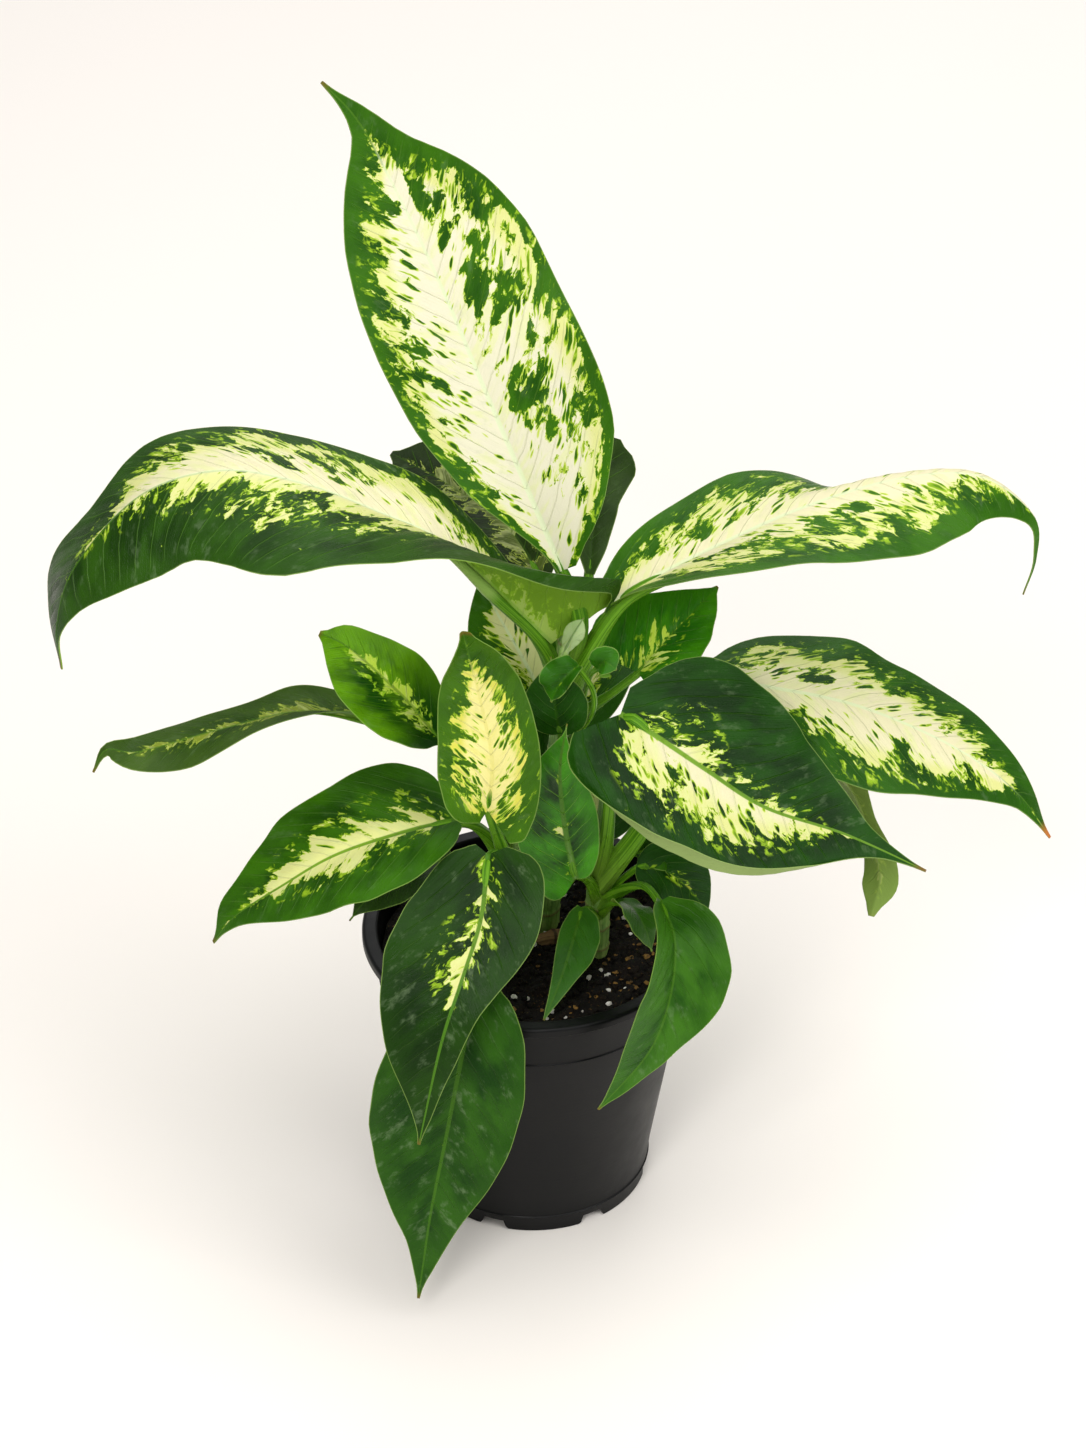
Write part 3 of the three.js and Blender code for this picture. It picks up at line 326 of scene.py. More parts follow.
def halfWidths(leaf, s):  # widths of both sides, and the wider one as a share of the blade's widest
    if "edges" in leaf:
        both = np.stack([edgeAt(points, s) for points in leaf["edges"]], 1)
        return both, both.max(1) / widest(leaf)
    share = bladeOutline(s, leaf["shape"])
    return share[:, None] * np.array(leaf["wide"]), share


def widest(leaf):
    return max(leaf["wide"] if "wide" in leaf else [width for side in leaf["edges"] for _, width in side])


def rollOver(roll, side, s, far, width, angle):  # what a turned-over margin takes from reach and rise
    rollSide, start, degrees, first, last = roll
    beyond = np.where(side == rollSide, np.maximum(0, far - start), 0) * width
    most = np.radians(degrees) * np.sin(math.pi * np.clip((s - first) / (last - first), 0, 1))[:, None] ** 2
    turned = angle + most * np.minimum(1, beyond / 4)
    return beyond * (np.cos(angle) - np.cos(turned)), beyond * (np.sin(angle) - np.sin(turned))


def bladeSheet(leaf, line, s, t):  # upper face points, and each one's way across and along in millimetres
    ahead, up, out = faceFrame(leaf, line, s)
    side = (t > 0).astype(int)
    far = np.abs(t)[None, :]
    widths, share = halfWidths(leaf, s)
    width = widths[:, side] * (1 - 0.35 * stepUp(s, 0.9, 0.99))[:, None]
    width = np.maximum(leafCommon["narrowest"], width)
    share = share[:, None]
    across = far * width
    fold = np.stack([along(leaf["fold"][k], s) for k in (0, 1)], 1)[:, side]
    angle = np.radians(fold + np.array(leaf["curl"])[side][None, :] * far / 2)
    height, count, phase = leaf["wave"]
    turns = count * s[:, None] + phase + side[None, :] * 0.37
    fineTurns = count * 2.7 * s[:, None] + phase * 3 + side[None, :] * 0.61
    wave = height * far**2 * share * np.sin(2 * math.pi * turns)
    wave = wave + leafCommon["ripple"] * far**4 * share * np.sin(2 * math.pi * fineTurns)
    lobe = np.array(leaf["lobe"])[side] if isinstance(leaf["lobe"], list) else leaf["lobe"]
    back = lobe * far * share * np.maximum(0, 1 - s / 0.35)[:, None] ** 1.5
    level, rise = across * np.cos(angle), across * np.sin(angle)
    if "roll" in leaf:
        inward, downward = rollOver(leaf["roll"], side, s, far, width, angle)
        level, rise = level - inward, rise - downward
    place = lineAt(line, s)[:, None, :] + out[:, None, :] * (np.sign(t) * level)[..., None]
    place += up[:, None, :] * (rise + wave)[..., None] - ahead[:, None, :] * back[..., None]
    return place, np.sign(t) * across, s[:, None] * line[1][-1] - back, width


def bladePoints(leaf, line):
    length = line[1][-1]
    rows = int(np.clip(length / leafCommon["rowStep"], *leafCommon["rows"]))
    half = int(np.clip(widest(leaf) / leafCommon["columnStep"], *leafCommon["columns"]))
    s = np.linspace(0, 1, rows + 1) ** leafCommon["rowCrowding"]
    t = np.linspace(0, 1, half + 1) ** leafCommon["columnCrowding"]
    t = np.concatenate([-t[:0:-1], t])
    place, across, ahead, width = bladeSheet(leaf, line, s, t)
    normal = unit(np.cross(np.gradient(place, axis=1), np.gradient(place, axis=0)) + 1e-12)
    far, reach = np.abs(t)[None, :], np.abs(across)
    vein = ahead - leaf["slant"] * reach * (1 + 0.35 * reach / widest(leaf))
    puff = np.abs(np.sin(math.pi * vein / leaf["veinGap"])) ** 0.7 - 0.6
    fade = stepUp(reach, 1, 8) * (1 - far**4) * stepUp(width, 3, 16)
    ribWidth = leaf["ribWidth"] * leaf["stem"][1] * (1 - s)[:, None] ** 0.8 + 0.22
    groove = leafCommon["groove"] * bulge(reach, 0, leafCommon["grooveWidth"]) * stepUp(width, 2, 10)
    upper = place + normal * (leaf["puff"] * puff * fade - groove)[..., None]
    thin, thick = leafCommon["thin"], leafCommon["thick"]
    under = upper - normal * (thin + (thick - thin) * (1 - far**6) * np.ones_like(reach))[..., None]
    ahead = np.broadcast_to(ahead, reach.shape)
    side = (t > 0).astype(int)
    cream = np.stack([np.interp(s, *zip(*points)) for points in leaf["cream"]], 1)[:, side] - far
    place = np.stack([vein, across, ahead], -1)
    patch = np.stack([cream, (1 - far) * width, reach / ribWidth], -1)
    return upper, under, place, patch, np.broadcast_to(s[:, None], reach.shape)


def caneAt(cane, height):  # the middle of a cane at a height
    line = np.array(cane["line"], float)
    return [np.interp(height, line[:, 2], line[:, k]) for k in range(3)]


def stalkPoints(leaf, line):  # a ring of points for each step, from the cane and on under the rib
    start, end = leaf["stem"]
    meet = np.array([0.02, 0.14])
    up = faceFrame(leaf, line, meet)[1][1]
    joint, last = lineAt(line, meet) - up * end * np.array([[0.65], [0.95]])
    stalk = smoothLine([caneAt(canes[leaf["cane"]], leaf["height"]), *leaf["stalk"], joint, last])
    steps = max(14, int(stalk[1][-1] / leafCommon["stalkStep"]))
    u = np.linspace(0, 1, steps + 1)
    s = np.linspace(0.16, 0.92, max(12, int(line[1][-1] / leafCommon["ribStep"])))
    ribUp = faceFrame(leaf, line, s)[1]
    later = stepUp(s, 0.1, 0.3)
    ribRadius = end * (0.8 - 0.35 * stepUp(s, 0.14, 0.4)) * ((1 - s) / 0.86) ** 0.85 + 0.1
    sink = 0.95 * end * (1 - later) + (0.45 * ribRadius + 0.5) * later
    centre = np.vstack([lineAt(stalk, u), lineAt(line, s) - ribUp * sink[:, None]])
    radius = np.concatenate([start + (0.8 * end - start) * np.minimum(1, 1.6 * u), ribRadius])
    radius[:steps + 1] *= 1 + 0.12 * np.exp(-u / 0.12)
    ways = np.vstack([headings(stalk, u), headings(line, s)])
    ups = np.zeros_like(centre)
    ups[steps + 1:] = ribUp
    for i in range(steps, -1, -1):  # the channel on top of the stalk follows it down to the cane
        ups[i] = ups[i + 1] - ways[i] * np.dot(ups[i + 1], ways[i])
        ups[i] /= np.linalg.norm(ups[i])
    turn = turnsOf(leafCommon["stalkSides"], -math.pi)[None, :]
    share = np.concatenate([u, 1 + s])[:, None]
    channel = leafCommon["channel"] * stepUp(share, 0.15, 0.6) * (1 - stepUp(share, 0.85, 1.2))
    wing = leafCommon["wing"] * (1 - stepUp(share, 0.35, 0.75))
    shape = 1 - channel * bulge(turn, 0, 0.5) + wing * bulge(np.abs(turn), 0.8, 0.25)
    lift = np.where(np.cos(turn) > 0, 1 - 0.72 * stepUp(share, 1.02, 1.3), 1)
    rise = (radius[:, None] * shape * np.cos(turn) * lift)[..., None]
    aside = (radius[:, None] * shape * np.sin(turn))[..., None]
    rings = centre[:, None, :] + ups[:, None, :] * rise + np.cross(ways, ups)[:, None, :] * aside
    return rings, share[:, 0], radius, turn[0], runOf(centre)


def fullRow(row):  # a leaf's row with what it leaves out, and with what it gives once repeated
    leaf = {**leafCommon["row"], **row, "look": {**leafCommon["look"], **row["look"]}}
    for key, depth, count in (("face", 1, 3), ("fold", 1, 2), ("edges", 2, 2), ("cream", 2, 2)):
        if key in leaf and np.ndim(leaf[key][0]) < depth:
            leaf[key] = [leaf[key]] * count
    return leaf


def makeLeaf(row):
    leaf = fullRow(row)
    line = smoothLine(leaf["rib"])
    upper, under, place, patch, tipShare = bladePoints(leaf, line)
    rows, columns = upper.shape[:2]
    count = rows * columns
    grid = np.arange(count).reshape(rows, columns)
    faces = gridFaces(rows, columns)
    faces += [(a + count, d + count, c + count, b + count) for a, b, c, d in faces]
    rim = np.concatenate([grid[0, :], grid[1:, -1], grid[-1, -2::-1], grid[-2:0:-1, 0]]).tolist()
    faces += [(b, a, a + count, b + count) for a, b in zip(rim, rim[1:] + rim[:1])]
    rings, stalkShare, radius, turn, run = stalkPoints(leaf, line)
    steps, sides = rings.shape[:2]
    tubeFaces = gridFaces(steps, sides, 2 * count, around=True)
    faces += tubeFaces + capFaces(steps, sides, 2 * count)
    points = np.vstack([upper.reshape(-1, 3), under.reshape(-1, 3), rings.reshape(-1, 3)])

    # where each point lies on the blade or along the stalk, for the markings
    flat, face = np.ones((steps, sides)), np.ones((rows, columns))
    stalkRun = flat * run[:, None]
    tubePlace = np.stack([stalkRun * 0.3, radius[:, None] * turn[None, :] * 6, stalkRun], -1)
    tubePatch = np.stack([flat * -9, flat * 9, flat * 9], -1)
    tubeSpot = np.stack([flat * 2, flat * np.clip(stalkShare, 0, 2)[:, None], flat], -1)
    spots = [np.stack([face * side, tipShare, face * 0], -1).reshape(-1, 3) for side in (1, 0)]
    attributes = {
        "leafPlace": np.vstack([place.reshape(-1, 3)] * 2 + [tubePlace.reshape(-1, 3)]),
        "leafPatch": np.vstack([patch.reshape(-1, 3)] * 2 + [tubePatch.reshape(-1, 3)]),
        "leafSpot": np.vstack(spots + [tubeSpot.reshape(-1, 3)]),
    }

    # the bake map: the upper face, the underside and the unrolled stalk lie side by side
    wide = np.abs(place[..., 1]).max() * 2 + 3
    low = place[..., 2].min()
    tubeWide = radius.max() * 2 * math.pi
    size = max(wide * 2 + tubeWide + 6, place[..., 2].max() - low + 3, run[-1] + 3)
    bladeMap = np.stack([place[..., 1] + wide / 2, place[..., 2] - low + 1], -1).reshape(-1, 2)
    tubeMap = np.stack([flat * (wide * 2 + 3) + (turn / math.pi + 1) / 2 * tubeWide, stalkRun + 1], -1)
    bakeMap = np.vstack([bladeMap, bladeMap + [wide, 0], tubeMap.reshape(-1, 2)]) / size
    name = leaf["node"].title().replace("_", "")
    name = name[0].lower() + name[1:]
    piece = newPiece(name, points, faces, leafFinish(name, leaf), attributes, bakeMap=bakeMap)
    corners = piece.data.uv_layers["OFBake"].data  # the strip's last column joins the first one
    for polygon in piece.data.polygons[len(faces) - len(tubeFaces) - 2:-2]:
        across = [corners[k].uv[0] for k in polygon.loop_indices]
        if max(across) - min(across) > tubeWide / size / 2:
            for k in polygon.loop_indices:
                if corners[k].uv[0] < max(across) - tubeWide / size / 2:
                    corners[k].uv[0] += tubeWide / size
    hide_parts(leaf["node"])


# The finish of a leaf: green, with a ragged cream patch along the rib that holds green blotches and
# specks with yellow-green rims, faint veins, pale dust marks that are partly painted sheen, a pale margin
# and a paler underside.
def leafFinish(name, leaf):
    look = leaf["look"]
    material, tree, shader = newMaterial(name + "Finish")
    vein, across, ahead = partsOf(attributeOf(tree, "leafPlace"))
    inside, edge, ribShare = partsOf(attributeOf(tree, "leafPatch"))
    faceSide, share, isStalk = partsOf(attributeOf(tree, "leafSpot"))
    reach = reckon("ABSOLUTE", across)
    onRight = reckon("GREATER_THAN", across, 0.0)
    seed = onRight * look["sideSeed"] + look["seed"]

    # places on the blade, bent a little so that the edges of the markings wander
    straight = vectorOf(ahead - reach * look["lean"], reach, seed)
    bend = noiseOf(vectors("MULTIPLY", straight, look["bendScale"]), output="Color")
    offset = vectors("SUBTRACT", bend, (0.5, 0.5, 0.5))
    wander = look["wander"]
    bent = vectors("MULTIPLY_ADD", offset, (wander, wander * 1.5, 0), straight)
    bentVein = vectors("MULTIPLY_ADD", offset, (wander, wander * 0.6, 0), vectorOf(vein, reach, seed * 4))

    def marks(veinSize, reachSize, detail=2.0, rough=0.5, shift=0.0):
        place = vectors("MULTIPLY_ADD", bent, (1 / veinSize, 1 / reachSize, 1), (0, 0, shift))
        return noiseOf(place, detail=detail, rough=rough)

    def dots(veinSize, reachSize, least, size):  # above 0 in a dot of some cells, in shares of a cell
        node = newNode(tree, "ShaderNodeTexVoronoi", voronoi_dimensions="3D", feature="F1")
        place = vectors("MULTIPLY", bentVein, (1 / veinSize, 1 / reachSize, 1))
        setInputs(node, {"Vector": place, "Scale": 1})
        chance = partsOf(Shade(node.outputs["Color"]), "ShaderNodeSeparateColor")[0]
        return (chance - least) * size - Shade(node.outputs["Distance"])

    # field is above 0 where the blade is cream
    outer = between(inside, look["clearHeart"], 0.05)
    lace = (marks(*look["laceSize"], 4, 0.68, 5) - 0.5) * (outer * (look["lace"] * 0.6) + look["lace"] * 0.4)
    patchy = marks(*look["blotchSize"], 1, 0.5, 11) + lace
    left, right = look["blotchFrom"]
    nearRib = between(reach, look["clearRib"], look["clearRib"] + 7, 0.3, 0.0)
    heartAt = onRight * (right - left) + left + nearRib
    level = inside * look["fade"] + 0.5 - between(edge, 1.5, look["greenEdge"], 0.4, 0.0)
    field = (reckon("MINIMUM", level, heartAt) - patchy) * look["contrast"]
    speck = dots(*look["speckSize"], outer * -0.2 + look["specksFrom"] + nearRib, look["speckWide"])
    field = reckon("MINIMUM", field, speck * -0.5)
    fleck = marks(*look["fleckSize"], 3, 0.6, 27) - look["flecksFrom"]
    field = reckon("MAXIMUM", field, reckon("MINIMUM", fleck, inside + look["fleckReach"]))

    # greens and creams each vary over the blade
    clouds = marks(look["cloudSize"], look["cloudSize"], 3, 0.5, 21)
    hairs = noiseOf(vectors("MULTIPLY", vectorOf(vein, reach, seed), look["hairScale"]), rough=0.6)
    green = blendColours(between(clouds, 0.35, 0.68), look["dark"], look["mid"])
    green = blendColours(between(hairs, 0.45, 0.75, 0, look["hairsShow"]), green, look["mid"])
    green = blendColours(between(edge, look["edgeLightWidth"], 1, 0, look["edgeLight"]), green, look["mid"])
    # painted shade: the greens darken towards the blade's base
    green = blendColours(between(share, 0.05, 0.6, look["deepBase"], 0), green, look["dark"])
    sway = marks(30, 14, 1, 0.5, 51) * 6 + vein
    ridge = reckon("ABSOLUTE", reckon("SINE", sway * (math.pi / leaf["veinGap"])))
    line = between(ridge, 0.0, 0.2, 1, 0) * between(edge, 1.5, 9.0)
    green = blendColours(line * look["veinShows"], green, look["veinGreen"])
    cream = blendColours(between(inside, 0.05, look["heartFrom"]), look["creamEdge"], look["cream"])
    wash = between(marks(6, 14, 3, 0.6, 41), 0.46, 0.64, 0, look["wash"])
    cream = blendColours(wash, cream, look["creamWash"])
    cream = blendColours(line * look["creamVeins"], cream, look["creamLine"])
    cream = blendColours(between(hairs, 0.5, 0.8, 0, look["creamHairs"]), cream, look["creamLine"])
    rimReach = outer * -look["rimReach"] - 0.5 * look["rimReach"]
    colour = blendColours(between(field, rimReach, -0.02, 0, look["rimShows"]), green, look["rim"])
    colour = blendColours(between(field, -0.012, 0.012), colour, look["halo"])
    colour = blendColours(between(field, 0.01, 0.06), colour, cream)

    # pale dust marks that are partly painted sheen, then the midrib, the pale margin and the dry tip
    dust = noiseOf(attributeOf(tree, "leafPlace"), scale=look["dustScale"], detail=4, rough=0.65)
    colour = blendColours(between(dust, 0.54, 0.76, 0, look["dusty"]), colour, look["dust"])
    rib = blendColours(between(inside, -0.15, 0.3), look["ribDark"], look["rib"])
    colour = blendColours(between(ribShare, 0.7, 1.3, look["ribShows"], 0.0), colour, rib)
    colour = blendColours(between(edge, 0.1, 0.5, look["marginShows"], 0.0), colour, look["margin"])
    burnt = between(share, look["burntFrom"], look["burntFrom"] + 0.04)
    colour = blendColours(burnt * (1 - isStalk), colour, look["burnt"])
    backColour = blendColours(look["underShows"], colour, look["under"])
    colour = blendColours(between(faceSide, 0.4, 0.6), backColour, colour)

    # the stalk is green with fine lengthwise lines, the lighter ones partly painted highlight,
    # and takes the rib's colour along the blade
    lines = noiseOf(vectorOf(across, ahead / 60, seed), scale=0.35, detail=3)
    stalk = blendColours(between(lines, 0.32, 0.62, 0, 0.8), look["stalk"], look["stalkLight"])
    stalk = blendColours(between(share, 0.9, 1.0), stalk, look["ribUnder"])
    stalk = blendColours(between(share, 0.3, 0.02, 0, 0.5), stalk, look["stalkFoot"])
    colour = blendColours(isStalk, colour, stalk)

    # gloss, with a duller underside, and fine relief
    rough = between(dust, 0.3, 0.72, look["gloss"] - 0.05, look["gloss"] + 0.16)
    rough = rough + between(faceSide, 0.4, 0.6, look["underDull"], 0.0)
    grain = noiseOf(attributeOf(tree, "leafPlace"), scale=1.4, rough=0.6)
    relief = line * look["veinRelief"] + hairs * look["hairRelief"] + grain * look["grainRelief"]
    setFinish(shader, colour, rough, look["shine"], relief, look["relief"], look["reliefHeight"])
    setInputs(shader, {"Subsurface Weight": look["glow"], "Subsurface Radius": look["glowReach"],
                       "Subsurface Scale": look["glowDepth"] * mm})
    return material


# Canes: green stems ringed by the scars of old leaves.
caneCommon = {"footFrom": 140, "footFull": 118, "footShows": 0.6, "darkShows": 0.6, "scarShows": 0.8,
              "shine": 0.4, "relief": 0.35, "scarWidth": 0.9, "scarSwell": 0.45, "scarDip": 0.3,
              "dipAfter": 1.9, "scarSlant": 0.9, "ribs": 0.16, "fineRibs": 0.12}


def caneFinish(name, look):
    material, tree, shader = newMaterial(name + "Finish")
    _, turn, height = partsOf(attributeOf(tree, "canePlace"))
    scar = attributeOf(tree, "caneScar", "Fac")
    stripes = noiseOf(vectorOf(turn * 1.2, height * 0.05), detail=4, rough=0.6)
    mottle = noiseOf(attributeOf(tree, "canePlace"), scale=0.16, detail=4, rough=0.6)
    atFoot = between(height, caneCommon["footFrom"], caneCommon["footFull"], 0, caneCommon["footShows"])
    colour = blendColours(between(stripes, 0.35, 0.7), look["green"], look["light"])
    colour = blendColours(between(mottle, 0.5, 0.7, 0, caneCommon["darkShows"]), colour, look["dark"])
    colour = blendColours(atFoot, colour, look["foot"])
    colour = blendColours(between(scar, 0.25, 0.8, 0, caneCommon["scarShows"]), colour, look["scar"])
    rough = between(mottle, 0.3, 0.7, look["gloss"], look["gloss"] + 0.2)
    setFinish(shader, colour, rough, caneCommon["shine"], stripes + mottle, caneCommon["relief"], 0.5)
    return material


def caneRings(cane):  # rings of points along a cane, each point's turn and scar depth
    line = smoothLine(cane["line"])
    u = np.linspace(0, 1, cane["steps"] + 1)
    turn = turnsOf(cane["sides"], -math.pi)[None, :]
    ahead = headings(line, u)
    out = unit(np.cross(ahead, [0.13, 1, 0.07]))  # any way that no cane runs along
    side = np.cross(ahead, out)
    run = u[:, None] * line[1][-1] + caneCommon["scarSlant"] * np.sin(turn + u[:, None] * 9)
    past = (run + cane["scars"] * 0.5) % cane["scars"] - cane["scars"] * 0.5
    scar = bulge(past, 0, caneCommon["scarWidth"])
    dip = bulge(past, caneCommon["dipAfter"], caneCommon["scarWidth"])
    low, high = cane["radius"]
    radius = low + (high - low) * u[:, None] + caneCommon["scarSwell"] * scar - caneCommon["scarDip"] * dip
    radius = radius + caneCommon["ribs"] * np.sin(turn * 5 + run * 0.08)
    radius = radius + caneCommon["fineRibs"] * np.sin(turn * 9 - run * 0.11)
    place = out[:, None, :] * np.cos(turn)[..., None] + side[:, None, :] * np.sin(turn)[..., None]
    return lineAt(line, u)[:, None, :] + place * radius[..., None], turn, scar


def makeCane(cane):
    rings, turn, scar = caneRings(cane)
    rows, sides = rings.shape[:2]
    faces = gridFaces(rows, sides, around=True) + capFaces(rows, sides)
    flat = np.ones((rows, sides))
    place = np.stack([np.cos(turn) * 6 * flat, turn * 6 * flat, rings[..., 2]], -1)
    name = cane["name"]
    piece = newPiece(name, rings.reshape(-1, 3), faces, caneFinish(name, cane["look"]),
                     {"canePlace": place.reshape(-1, 3), "caneScar": scar.ravel()}, sharp=50)
    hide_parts(cane["node"])


def makeCanes():
    for cane in [*canes.values(), stub]:
        makeCane(cane)
    print("canes and the dry stub are made")


# The pot: one moulded piece with a rolled lip, two raised lines, drain notches and a raised drain channel.
# "band" and "foot" give radius and height at the raised lines, and "channel" its outer radius, its depth and
# the slant of its inner wall.
pot = {
    "height": 137, "lip": 77, "lipDrop": 4.5, "wall": 1.7, "wallTop": 71.6, "band": [69.3, 111],
    "foot": [53.4, 9], "skirt": 52.5, "line": 0.6, "rounding": 0.8, "floor": 38, "channel": [50.4, 5, 1.2],
    "sides": 288, "notches": 7, "notchAngle": -20, "notchWidth": 12.5, "notchHeight": 5, "notchSlant": 1.5,
    "drain": [9, 7], "black": rgb(4, 5, 6), "worn": rgb(14, 16, 18), "wornShows": 0.35, "gloss": 0.36,
    "shine": 0.2, "relief": 0.25,
}


def arcPoints(centre, radius, start, end, count):
    turns = np.radians(np.linspace(start, end, count))
    return [(centre[0] + radius * math.cos(a), centre[1] + radius * math.sin(a)) for a in turns]


def raisedLine(radius, at, size):  # steps out and up in shares of the line's size, and a little more out
    steps = [(0, -2, -0.15), (0, -1, -0.1), (0.7, -0.4, 0), (1, 0, 0), (0.7, 0.5, 0), (0, 1, 0.1),
             (0, 2, 0.12)]
    return [(radius + size * out + more, at + size * up) for out, up, more in steps]


def potProfile():  # from the middle of the underside, out and up, over the lip and down to the floor inside
    wall, height, lip, top, floor = pot["wall"], pot["height"], pot["lip"], pot["wallTop"], pot["floor"]
    channel, deep, slant = pot["channel"]
    bandRadius, bandAt = pot["band"]
    footRadius, footAt = pot["foot"]
    lipFoot = height - pot["lipDrop"]
    outer, inner = pot["rounding"] * 2, pot["rounding"] * 1.6
    return [
        (0, 0), (floor - 0.5, 0), (floor, 0.3), (floor + slant, deep), (channel, deep), (channel, 0.4),
        (channel + 0.4, 0), (pot["skirt"] - 0.5, 0), (pot["skirt"], 0.5), (pot["skirt"] + 0.06, deep - 0.1),
        *raisedLine(footRadius, footAt, pot["line"]), (footRadius + 1.5, footAt + 12),
        (bandRadius - 1.5, bandAt - 12), *raisedLine(bandRadius, bandAt, pot["line"]),
        (top - 0.35, height - wall - 6), (top, height - wall - 0.6), (top + 0.6, height - wall),
        (lip - wall, height - wall), (lip - wall, lipFoot), (lip - 0.4, lipFoot), (lip, lipFoot + 0.4),
        *arcPoints((lip - outer, height - outer), outer, 0, 90, 7), (lip - 3, height - 0.05),
        *arcPoints((top - wall + inner, height - inner), inner, 90, 180, 6),
        (bandRadius - wall, bandAt), (footRadius - wall, footAt), (channel, deep + wall),
        (floor, deep + wall), (floor - slant, wall), (0, wall),
    ]


def potFinish():
    material, tree, shader = newMaterial("potFinish")
    place = placeOf(tree)
    x, y, z = partsOf(place)
    cloud = noiseOf(place, scale=28, detail=5, rough=0.65)
    grain = noiseOf(place, scale=1900)
    turned = noiseOf(vectorOf(0.0, 0.0, z * 900), detail=3)
    scuffs = noiseOf(vectorOf(x * 60, y * 60, z * 420), detail=5, rough=0.7)
    colour = blendColours(between(cloud, 0.4, 0.75, 0, pot["wornShows"]), pot["black"], pot["worn"])
    colour = blendColours(between(scuffs, 0.66, 0.74, 0, pot["wornShows"]), colour, pot["worn"])
    rough = between(cloud, 0.3, 0.75, pot["gloss"], pot["gloss"] + 0.14)
    rough = rough + between(scuffs, 0.64, 0.74, 0, 0.12)
    relief = scuffs * 0.2 + turned * 0.35 + grain * 0.25
    setFinish(shader, colour, rough, pot["shine"], relief, pot["relief"], 0.3)
    return material


def makePot():
    profile = np.array(potProfile())
    sides = pot["sides"]
    turn = turnsOf(sides)
    radius, height = profile[1:-1, 0][:, None], np.repeat(profile[1:-1, 1][:, None], sides, 1)
    step = 2 * math.pi / pot["notches"]
    off = (turn + math.pi / 2 - math.radians(pot["notchAngle"]) + step / 2) % step - step / 2
    notch = np.clip((pot["notchWidth"] / 2 - np.abs(off) * pot["skirt"]) / pot["notchSlant"], 0, 1)
    raised = np.maximum(height, notch[None, :] * (pot["notchHeight"] - 0.15))
    height = np.where((radius > pot["channel"][0] - 0.1) & (height < pot["notchHeight"]), raised, height)
    rings = np.stack([radius * np.cos(turn), radius * np.sin(turn), height], -1)
    points = np.vstack([rings.reshape(-1, 3), [[0, 0, profile[0, 1]], [0, 0, profile[-1, 1]]]])
    rows = rings.shape[0]
    faces = gridFaces(rows, sides, around=True)
    low, high, last = rows * sides, rows * sides + 1, (rows - 1) * sides
    for j in range(sides):  # the middles of the underside and of the floor
        after = (j + 1) % sides
        faces += [(low, after, j), (high, last + j, last + after)]
    piece = newPiece("nurseryPot", points, faces, potFinish(), sharp=32)
    cutDrains(piece)
    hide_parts("pot")
    print("the pot is made")


def cutDrains(piece):  # a drain slot through the raised channel beside each notch
    wide, long = pot["drain"]
    channel, deep, slant = pot["channel"]
    middle = (pot["floor"] + slant + channel) / 2
    points, faces = [], []
    for k in range(pot["notches"]):
        a = math.radians(pot["notchAngle"]) + 2 * math.pi / pot["notches"] * k
        first = len(points)
        for z in (deep - 2, deep + pot["wall"] + 2):
            for x, y in ((-1, -1), (1, -1), (1, 1), (-1, 1)):
                px, py = x * wide / 2, -middle + y * long / 2
                points.append((px * math.cos(a) - py * math.sin(a), px * math.sin(a) + py * math.cos(a), z))
        faces += gridFaces(2, 4, first, around=True) + capFaces(2, 4, first)
    mesh = bpy.data.meshes.new("drainCutter")
    mesh.from_pydata([tuple(c * mm for c in p) for p in points], [], faces)
    cutter = bpy.data.objects.new("drainCutter", mesh)
    scene.collection.objects.link(cutter)
    cut = piece.modifiers.new("drains", "BOOLEAN")
    cut.operation, cut.solver, cut.object = "DIFFERENCE", "EXACT", cutter
    bpy.context.view_layer.update()
    shown = piece.evaluated_get(bpy.context.evaluated_depsgraph_get())
    mesh = bpy.data.meshes.new_from_object(shown)
    piece.modifiers.clear()
    piece.data = mesh
    bpy.data.objects.remove(cutter)


# The soil: a lumpy bed of dark mix, with crumbs, bark and white perlite lying in it.
soil = {"height": 127, "lumps": 1.3, "fineLumps": 1.5, "fineLumpSize": 5, "sag": 2.5, "sagFrom": 0.93,
        "edge": 1.6, "corner": 3, "gap": 0.6, "rings": 120, "sides": 300, "scatter": 64,
        "look": {"dark": rgb(4, 3, 1), "middle": rgb(20, 14, 8), "light": rgb(136, 102, 46), "flecks": 0.5,
                 "rough": 0.8, "shine": 0.25}}
grains = [
    {"name": "soilCrumbs", "finish": "crumbFinish", "seed": 5,
     "count": 900, "sizes": (1.2, 4.2), "flat": 0.7,
     "look": {"dark": rgb(5, 4, 2), "middle": rgb(26, 18, 10), "light": rgb(124, 92, 44), "flecks": 0.5,
              "rough": 0.8, "shine": 0.25}},
    {"name": "perliteGrains", "finish": "perliteFinish", "seed": 9,
     "count": 90, "sizes": (0.8, 3.4), "flat": 0.85,
     "look": {"dark": rgb(205, 200, 190), "middle": rgb(240, 238, 232), "light": rgb(255, 255, 252),
              "flecks": 0.6, "rough": 0.75, "shine": 0.3}},
    {"name": "barkBits", "finish": "barkFinish", "seed": 13,
     "count": 280, "sizes": (0.7, 3.8), "flat": 0.35,
     "look": {"dark": rgb(70, 48, 20), "middle": rgb(140, 104, 44), "light": rgb(196, 156, 80),
              "flecks": 0.6, "rough": 0.6, "shine": 0.35}},
]


def soilWallAt(height):  # the soil's radius at a height, a little inside the pot's wall
    (foot, footAt), (band, bandAt) = pot["foot"], pot["band"]
    return foot - pot["wall"] - soil["gap"] + (band - foot) / (bandAt - footAt) * (height - footAt)


def soilTopAt(x, y):
    lumps = np.sin(x * 0.21 + 1) * np.cos(y * 0.19) + 0.6 * np.sin(x * 0.45 - y * 0.37)
    return soil["height"] + soil["lumps"] * lumps


